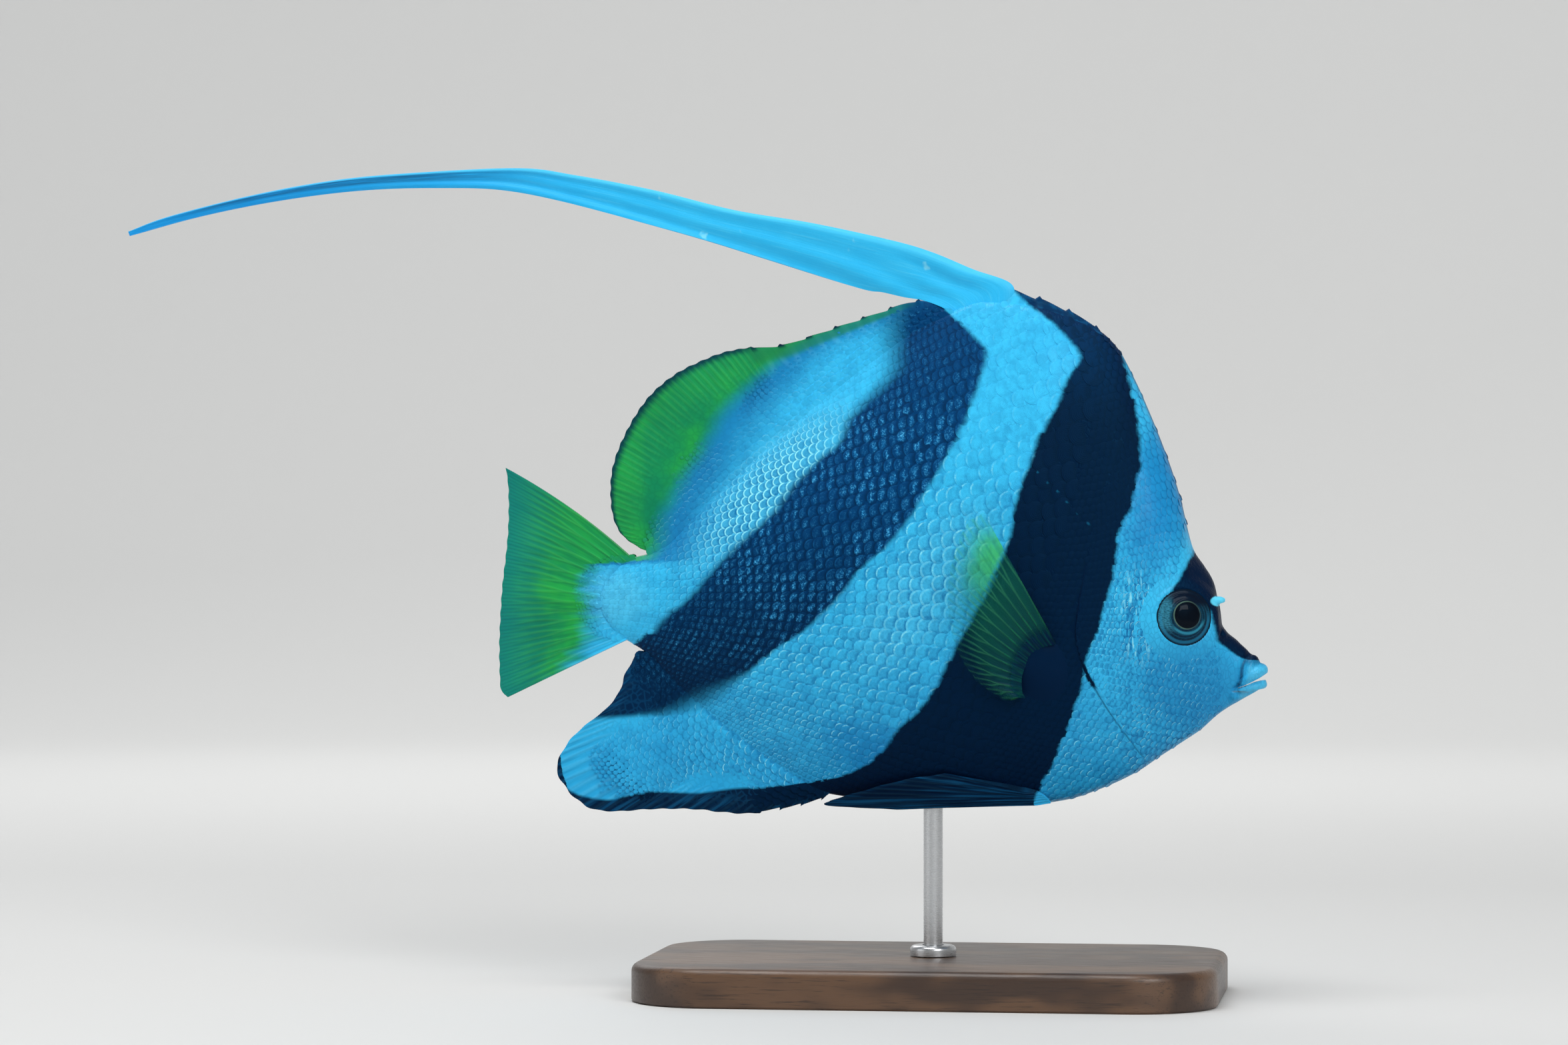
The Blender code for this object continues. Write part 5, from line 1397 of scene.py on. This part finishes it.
    # Painted highlights on the rims, and the painted net of rims in the sheen
    bright = edge * (w.step(patch, 0.0, 1.0, 0.15, 0.6) + first * 0.2) * calm | painted_rim_net
    on_white = w.mix(bright, on_white, w.mix(yellow, (0.34, 0.93, 1.0, 1), (0.05, 0.44, 0.12, 1)))
    w.fill(shader, {
        "Base Color": w.mix(black, on_white, on_black),
        "Roughness": w.step(black, 0.0, 1.0, 0.25, 0.45) + speck * 0.2, "Specular IOR Level": 0.25,
        "Coat Weight": w.step(black, 0.0, 1.0, 0.16, 0.0), "Coat Roughness": 0.25,
        "Normal": w.bump(w.math("SINE", far * 40.0) * 0.2 + speck, 0.45, 0.00007),
    })
    return made


def ray_lines(w, across, along, forks):
    """Bright lines along the rays of a fin, from its UV map: across counts rays, along runs 0 to 1."""
    offset = w.math("FRACT", across + 0.5) - 0.5
    for fork, apart in forks:
        offset = abs(offset) - w.step(along, fork, fork + 0.3, 0.0, apart)
    return w.step(abs(offset), 0.17, 0.03)


def fin_finish(name, forks=((0.45, 0.25),), bare_from=-1.0, line=0.1, web=1.0, tip_web=1.0,
               tint=None, dress=None):
    """A rayed fin: its membrane in the fish's markings or in a tint of its own, and paler rays."""
    made, w, shader, place = new_finish(name, WATER_SHINE)
    colour, black, yellow, _, _ = paint(w, place)
    uv, across, along = lie(w)
    rays = ray_lines(w, across, along, forks) * w.step(along, bare_from - 0.05, bare_from + 0.2)
    streak = w.noise(w.vector("MULTIPLY", uv, (1.5, 1.0, 1.0)), 2.0, 2, 0.5)
    if tint:
        colour, yellow = w.mix(w.step(along, 0.15, 0.9), *tint), 1.0
        lead = w.step(across, 7.0, 0.5) * (1.0 - black)
        black = w.step(along + streak * 0.12, 0.2, 0.08)
        colour = w.mix(black, colour, BLACK)
        colour = w.mix(w.step(across, 3.5, 11.0, 0.0, 0.8), colour, (0.001, 0.022, 0.032, 1))
        colour = w.mix(lead, colour, (0.07, 0.66, 0.07, 1))
    pale = rays * ((streak + 1.0) * line) * (1.0 - black * 0.9)
    colour = w.mix(pale, colour, w.mix(yellow, (0.18, 0.68, 0.94, 1), (0.08, 0.50, 0.10, 1)))
    dark = w.step(streak, 0.56, 0.34) * w.step(along, bare_from, bare_from + 0.3, 0.0, 0.35)
    scaly = w.step(along, bare_from + 0.5, bare_from, 0.0, 0.15)
    scaly = scaly * w.step(w.cell_border(place, 620), 0.2, 0.04)
    colour = w.mix(dark | scaly, colour, w.mix(yellow, (0.008, 0.14, 0.34, 1), (0.004, 0.11, 0.05, 1)))
    colour = w.mix(w.step(along, -0.5, -0.9), colour, (0.0006, 0.008, 0.034, 1))
    if dress:
        colour = dress(w, colour, across, along, rays)
    if web < 1.0 or tip_web < 1.0:
        clear = w.step(along, 0.15, 0.8, web, tip_web)
        if tint:
            clear = clear | lead * w.step(along, 0.98, 0.7, 0.0, 0.55)
        alpha = clear | rays * w.step(along, 0.3, 0.9, 0.8, tip_web + 0.1)
        w.feed(shader.inputs["Alpha"], alpha | black)
    joints = w.math("SINE", along * 260.0)
    relief = rays + joints * rays * 0.1 + w.noise(place, 1400, 3) * 0.2
    w.fill(shader, {
        "Base Color": colour, "Roughness": w.step(along, -0.6, -0.2, 0.8, 0.5), "Specular IOR Level": 0.25,
        "Coat Weight": w.step(black, 0.0, 1.0, 0.06, 0.02), "Coat Roughness": 0.25,
        "Normal": w.bump(relief, 0.5, 0.0001),
    })
    return made


def dorsal_margin(w, colour, across, along, rays):
    """Dark edge of the soft rays, and the spiny part's black tips over a thin yellow-green line."""
    spiny = w.step(across, 8.2, 6.6)
    line = spiny * w.step(along, 0.72, 0.84) * w.step(across, 0.8, 2.5)
    colour = w.mix(line * 0.75, colour, (0.015, 0.22, 0.07, 1))
    tip = w.step(abs(w.math("FRACT", across) - 0.5), 0.3, 0.44) * w.step(along, 0.9, 0.98)
    colour = w.mix(spiny * (tip | w.step(along, 0.965, 0.99)), colour, BLACK)
    edge = w.step(along - rays * 0.008, 0.9, 0.985) * (1.0 - spiny)
    return w.mix(edge, colour, (0.003, 0.045, 0.055, 1))


def tail_margin(w, colour, across, along, rays):
    """The tail fin pales to a cool blue along its hind edge."""
    fade = w.step(along - rays * 0.08, 0.42, 0.95)
    return w.mix(fade * 0.85, colour, (0.003, 0.21, 0.2, 1))


def banner_finish():
    """Pale fibrous skin with a bright spine, dusky towards the tip and spotted near the root."""
    made, w, shader, place = new_finish("banner skin", WATER_SHINE)
    uv, across, along = lie(w)
    fibres = w.noise(w.vector("MULTIPLY", uv, (26.0, 14.0, 1.0)), 1.0, 4, 0.6)
    cloud = w.noise(place, 70, 3, 0.6)
    colour = w.mix(cloud, WHITE, (0.02, 0.46, 0.86, 1))
    colour = w.mix(w.step(along, 0.35, 0.9, 0.0, 0.8), colour, (0.006, 0.30, 0.82, 1))
    spine = w.step(across, 0.2, 0.05)
    colour = w.mix(spine * w.step(along, 0.0, 0.06, 0.1, 0.45), colour, (0.12, 0.7, 0.96, 1))
    colour = w.mix(w.step(fibres, 0.5, 0.75) * 0.25, colour, (0.16, 0.76, 0.96, 1))
    tip = w.step(along, 0.5, 0.68) * w.step(along, 1.0, 0.86)
    band = w.step(across, 0.06, 0.2) * w.step(across, 0.75, 0.4)
    dusky = tip * band * w.step(fibres, 0.3, 0.62)
    colour = w.mix(dusky * 0.8, colour, (0.008, 0.08, 0.22, 1))
    spots = w.step(w.noise(place, 210, 2, 0.5), 0.68, 0.75) * w.step(along, 0.5, 0.4)
    colour = w.mix(spots * 0.5, colour, (0.35, 0.88, 0.98, 1))
    relief = fibres + w.noise(place, 1300, 3) * 0.4
    w.fill(shader, {
        "Base Color": colour, "Roughness": 0.45, "Coat Weight": 0.12, "Coat Roughness": 0.3,
        "Normal": w.bump(relief, 0.5, 0.00022),
    })
    return made


def eye_finish():
    """Black pupil, thin gold ring, silver crescent behind and a dark iris with a blue rim below."""
    made, w, shader, _ = new_finish("eye", WATER_SHINE)
    uv, _, _ = lie(w)
    spot = w.node("ShaderNodeVectorMath", operation="SCALE")
    spot = w.fill(spot, {0: w.vector("SUBTRACT", uv, (0.5, 0.5, 0.0)), "Scale": EYE_SPAN})
    ahead, up, _ = w.split(spot)
    far = w.vector("LENGTH", spot)
    pupil = w.vector("DISTANCE", spot, (PUPIL_AHEAD, PUPIL_UP, 0.0))
    mottle = w.noise(w.vector("MULTIPLY", spot, (0.9, 2.2, 1.0)), 1.6, 4, 0.65)
    iris = w.mix(w.step(up, -5.0, 1.0), (0.003, 0.018, 0.040, 1), (0.004, 0.022, 0.040, 1))
    iris = w.mix(w.step(mottle, 0.45, 0.75) * 0.4, iris, (0.008, 0.1, 0.2, 1))
    rings = w.step(w.math("SINE", far * 8.5 + mottle), 0.1, 0.9)
    iris = w.mix(rings * 0.3, iris, (0.01, 0.12, 0.22, 1))
    crescent = w.step(ahead, -1.2, -4.2) * w.step(far, 3.6, 4.6)
    crescent = crescent * w.step(mottle, 0.28, 0.6) * w.step(abs(up - 0.8), 5.6, 2.5)
    colour = w.mix(crescent * 0.55, iris, (0.06, 0.36, 0.52, 1))
    glow = w.step(abs(pupil - (PUPIL_RADIUS + 1.25)), 0.55, 0.1) * w.step(up + ahead * -0.2, -1.0, -3.2)
    colour = w.mix(glow * 0.6, colour, (0.04, 0.34, 0.5, 1))
    brow = w.step(up, 2.0, 4.0) * w.step(ahead, -5.0, -2.4)
    colour = w.mix(brow, colour, (0.003, 0.007, 0.018, 1))
    blue = w.step(abs(far - (EYE_RADIUS - 0.85)), 0.5, 0.12) * w.step(up, 2.5, -1.0)
    colour = w.mix(blue * 0.45, colour, (0.02, 0.24, 0.44, 1))
    gold = w.step(abs(pupil - (PUPIL_RADIUS + 0.12)), 0.24, 0.05) * w.step(ahead, 3.6, -1.5, 0.35, 1.0)
    gold = gold * w.step(mottle, 0.2, 0.5, 0.45, 0.95)
    colour = w.mix(gold, colour, (0.09, 0.16, 0.12, 1))
    colour = w.mix(w.step(pupil, PUPIL_RADIUS + 0.05, PUPIL_RADIUS - 0.1), colour, (0.002, 0.003, 0.006, 1))
    colour = w.mix(w.step(far, EYE_RADIUS - 0.45, EYE_RADIUS - 0.1), colour, (0.004, 0.009, 0.018, 1))
    w.fill(shader, {
        "Base Color": colour, "Roughness": 0.35, "Specular IOR Level": 0.06, "Coat Weight": 0.15,
        "Coat Roughness": 0.03, "Coat IOR": 1.38,
    })
    return made


def wood_finish():
    made, w, shader, place = new_finish("dark oiled wood")
    warp = w.noise(w.vector("MULTIPLY", place, (9.0, 22.0, 22.0)), 1.5, 3, 0.6)
    _, y, _ = w.split(place)
    rings = w.math("SINE", y * 156.0 + warp * 22.0)
    pores = w.noise(w.vector("MULTIPLY", place, (90.0, 1700.0, 1700.0)), 1.0, 3, 0.7)
    colour = w.mix(w.step(rings, -1.0, 1.0), (0.045, 0.022, 0.012, 1), (0.115, 0.058, 0.028, 1))
    colour = w.mix(w.step(pores, 0.52, 0.7) * 0.7, colour, (0.02, 0.01, 0.006, 1))
    w.fill(shader, {
        "Base Color": colour, "Roughness": w.step(pores, 0.3, 0.8, 0.34, 0.52), "Coat Weight": 0.2,
        "Coat Roughness": 0.3, "Normal": w.bump(pores, 0.35, 0.00015),
    })
    return made


def steel_finish():
    made, w, shader, place = new_finish("brushed steel")
    brush = w.noise(w.vector("MULTIPLY", place, (400.0, 400.0, 9000.0)), 1.0, 3, 0.6)
    colour = w.mix(brush, (0.50, 0.51, 0.53, 1), (0.68, 0.69, 0.70, 1))
    w.fill(shader, {
        "Base Color": colour, "Metallic": 1.0, "Roughness": w.step(brush, 0.2, 0.8, 0.2, 0.36),
        "Normal": w.bump(brush, 0.15, 0.00005),
    })
    return made


def floor_finish():
    made, w, shader, place = new_finish("pale floor")
    colour = w.mix(w.noise(place, 1.5, 2), (0.70, 0.70, 0.69, 1), (0.73, 0.73, 0.72, 1))
    w.fill(shader, {"Base Color": colour, "Roughness": 0.8})
    return made


# Stand
def turned_piece(name, profile, finish, steps=72):
    """A solid of revolution about the rod's axis from (radius, height) points, outside going up."""
    turn = np.linspace(0, 2 * math.pi, steps, endpoint=False)
    points = [(radius * c * MM, radius * s * MM, height * MM) for radius, height in profile
              for c, s in zip(np.cos(turn), np.sin(turn))]
    obj = mesh_object(name, points, tube_faces(len(profile), steps, "meet"), finish)
    outward(obj.data, 1e-6)
    obj.data.set_sharp_from_angle(angle=math.radians(35))
    return obj


def stand_pieces():
    """A softly rounded wooden slab, the rod and its collar, all of the solids' own sizes."""
    low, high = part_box("stand_base")
    rod_low, rod_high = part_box("stand_rod")
    collar_low, collar_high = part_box("stand_collar")
    corner, soft = 22.0, 2.2
    length, width, height = ((high - low) / MM)[:]
    outline, outside = [], []
    for way_x, way_y, first in ((1, 1, 0), (-1, 1, 90), (-1, -1, 180), (1, -1, 270)):
        for turn in np.radians(np.linspace(first, first + 90, 22)):
            outside.append((math.cos(turn), math.sin(turn)))
            outline.append((way_x * (length / 2 - corner) + corner * math.cos(turn),
                            way_y * (width / 2 - corner) + corner * math.sin(turn)))
    levels = [(0.6, 0.0), (0.0, 0.6), (0.0, height - soft)]
    levels += [(soft * (1 - math.cos(a)), height - soft + soft * math.sin(a))
               for a in np.radians(np.linspace(15, 90, 6))]
    points = [(x * MM, y * MM, z * MM) for inset, z in levels
              for x, y in np.array(outline) - np.array(outside) * inset]
    faces = tube_faces(len(levels), len(outline), "flat")
    base = closed_object("base_slab", points, faces, wood_finish())
    base.data.set_sharp_from_angle(angle=math.radians(30))
    steel = steel_finish()
    radius, top, foot = rod_high[0] / MM, rod_high[2] / MM, rod_low[2] / MM
    rod = turned_piece("rod", [(0.01, foot), (radius, foot), (radius, top - 0.5), (radius - 0.5, top),
                               (0.01, top)], steel)
    outer, bottom, upper = collar_high[0] / MM, collar_low[2] / MM, collar_high[2] / MM
    inner, edge = radius + 0.3, 1.3
    bend = [(outer - edge + edge * math.cos(a), upper - edge + edge * math.sin(a))
            for a in np.radians(np.linspace(0, 90, 8))]
    collar = turned_piece("collar", [(inner, bottom), (outer, bottom), *bend, (inner, upper)], steel)
    return base, rod, collar


# Studio
def studio_cove(finish):
    """A pale floor that curves up into a low round wall, the same on every side."""
    flat, curve, wall = 1.5, 1.2, 2.4
    profile = [(r, 0.0) for r in np.linspace(0, flat, 8)]
    profile += [(flat + curve * math.sin(a), curve * (1 - math.cos(a)))
                for a in np.linspace(0, math.pi / 2, 24)[1:]]
    profile.append((flat + curve, wall))
    steps = 96
    points = [(r * math.cos(t), r * math.sin(t), z) for r, z in profile
              for t in np.linspace(0, 2 * math.pi, steps, endpoint=False)]
    cove = mesh_object("pale_floor", points, tube_faces(len(profile), steps), finish)
    bm = bmesh.new()
    bm.from_mesh(cove.data)
    bmesh.ops.remove_doubles(bm, verts=bm.verts, dist=1e-6)
    bm.to_mesh(cove.data)
    bm.free()


def soft_light(name, place, aim, size, power, colour=(1, 1, 1)):
    data = bpy.data.lights.new(name, "AREA")
    data.shape, data.size, data.size_y = "RECTANGLE", size[0], size[1]
    data.energy, data.color = power, colour
    lamp = bpy.data.objects.new(name, data)
    lamp.location = place
    lamp.rotation_euler = (Vector(aim) - Vector(place)).to_track_quat("-Z", "Y").to_euler()
    lamp.visible_camera = False
    bpy.context.scene.collection.objects.link(lamp)


CAMERA_AIM = Vector((-0.0391, 0.0, 0.1226))
CAMERA_TURN, CAMERA_DISTANCE, CAMERA_LENS = math.radians(8), 1.3, 114.5


def camera_and_lights():
    scene = bpy.context.scene
    ahead = Vector((-math.sin(CAMERA_TURN), math.cos(CAMERA_TURN), 0))
    data = bpy.data.cameras.new("camera")
    data.lens, data.sensor_width = CAMERA_LENS, 36
    camera = bpy.data.objects.new("camera", data)
    camera.location = CAMERA_AIM - ahead * CAMERA_DISTANCE
    camera.rotation_euler = ahead.to_track_quat("-Z", "Y").to_euler()
    scene.collection.objects.link(camera)
    scene.camera = camera
    centre = (-0.02, 0.0, 0.12)
    soft_light("overhead", (-0.25, -0.3, 1.5), centre, (1.0, 0.8), 13)
    soft_light("key", (0.75, -1.25, 0.9), centre, (0.7, 0.7), 11)
    soft_light("fill", (-1.3, -0.7, 0.5), centre, (1.0, 0.9), 2)
    soft_light("back", (-0.7, 1.1, 1.0), centre, (1.0, 0.8), 4)
    soft_light("backdrop", (0.0, 0.9, 1.2), (0.0, 2.6, 0.5), (1.6, 0.5), 12)
    world = bpy.data.worlds.new("studio")
    world.use_nodes = True
    world.node_tree.nodes["Background"].inputs["Color"].default_value = (0.93, 0.96, 1.0, 1)
    world.node_tree.nodes["Background"].inputs["Strength"].default_value = 0.3
    scene.world = world
    scene.view_settings.view_transform = "Standard"


def ride(obj, slot, *nodes):
    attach(obj, "root")
    if nodes:
        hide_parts(*nodes)
    return obj


def fins():
    """Every fin, as one closed sheet each, and the grids that carry small scales."""
    dark = fin_finish("dark fin")
    yellow = fin_finish("yellow dorsal fin", bare_from=SOFT_COVER + 0.15, dress=dorsal_margin)
    tail = fin_finish("yellow tail fin", ((0.3, 0.25), (0.62, 0.125)), tip_web=0.93, line=0.14,
                      dress=tail_margin)
    banded = fin_finish("banded anal fin", bare_from=ANAL_COVER)
    grids = {"dorsal": dorsal_grid(), "anal": anal_grid(), "tail": tail_grid()}
    ride(fin_object("front_dorsal_spines", front_spine_grid(), dark), "dark_fin", "fin_dorsal_front")
    ride(fin_object("banner", banner_grid(), banner_finish()), "banner", "fin_banner_root",
         "fin_banner_middle", "fin_banner_tip")
    ride(fin_object("dorsal_fin", grids["dorsal"], yellow), "yellow_fin", "fin_dorsal_spiny",
         "fin_dorsal_soft")
    ride(fin_object("anal_fin", grids["anal"], banded), "banded_fin", "fin_anal")
    ride(fin_object("tail_fin", grids["tail"], tail), "yellow_fin", "fin_tail")
    clear = fin_finish("clear pectoral fin", ((0.35, 0.25),), web=0.85, tip_web=0.04,
                       tint=((0.002, 0.05, 0.045, 1), (0.008, 0.20, 0.13, 1)))
    for side, name in ((-1, "right"), (1, "left")):
        fan = fin_object(f"pectoral_fin_{name}", pectoral_grid(side), clear)
        add_pad(fan, side)
        ride(fan, "yellow_fin", f"fin_pectoral_{name}")
        pelvic = fin_object(f"pelvic_fin_{name}", pelvic_grid(side), dark)
        ride(pelvic, "dark_fin", f"fin_pelvic_{name}")
    return grids


def add_pad(fan, side):
    """Joins the fleshy root to the pectoral fin's mesh, with a place below 0 on its UV map."""
    points, faces = pectoral_pad(side)
    pad = closed_object("pad", metres(points), faces, None, np.full((len(points), 2), -1.0))
    bm = bmesh.new()
    bm.from_mesh(fan.data)
    bm.from_mesh(pad.data)
    bm.to_mesh(fan.data)
    bm.free()
    bpy.data.objects.remove(pad)


def coat(grids):
    """The scales of both flanks, and the smaller ones that climb the fins."""
    tree, finish = scale_cover_tree(), scale_finish()
    trunk, fine = trunk_seats(), fine_seats()

    def up_dorsal(s):
        return SPINY_COVER + 0.1 - 0.38 * ease((s - 0.16) / 0.3)

    def down_anal(s):
        return 0.95 * ease(s / 0.12) - 0.16 * ease((s - 0.35) / 0.45)

    on_fins = np.vstack([
        fin_scale_seats(grids["dorsal"], 1.9, 1.0, up_dorsal, 0.45),
        fin_scale_seats(grids["anal"], 2.0, 1.1, down_anal, 0.6),
        fin_scale_seats(grids["tail"], 1.4, 0.8, lambda s: 0.02 + 0.25 * np.sin(math.pi * s), 0.3),
    ])
    for side, name in ((-1, "right"), (1, "left")):
        large = scale_plate("scale", 10, 4, (0.6, 0.9, 1.0), -side)
        small = scale_plate("small_scale", 7, 3, (0.85, 1.0), -side)
        ride(scale_cover(f"scales_{name}", trunk, side, large, tree, finish, 0.24, 11), "skin")
        ride(scale_cover(f"fine_scales_{name}", fine, side, small, tree, finish, 0.2, 12), "skin")
        ride(scale_cover(f"fin_scales_{name}", on_fins, side, small, tree, finish, 0.2, 13), "skin")
        for plate in (large, small):
            bpy.data.objects.remove(plate)


def main():
    ride(body_skin(skin_finish()), "skin", "head", "trunk", "tail_stalk")
    iris = eye_finish()
    for side, node in ((-1, "eye_right"), (1, "eye_left")):
        ride(eye_ball(side, iris), "eye", node)
    coat(fins())
    base, rod, collar = stand_pieces()
    ride(base, "stand_wood", "stand_base")
    ride(rod, "stand_steel", "stand_rod")
    ride(collar, "stand_steel", "stand_collar")
    studio_cove(floor_finish())
    camera_and_lights()


main()
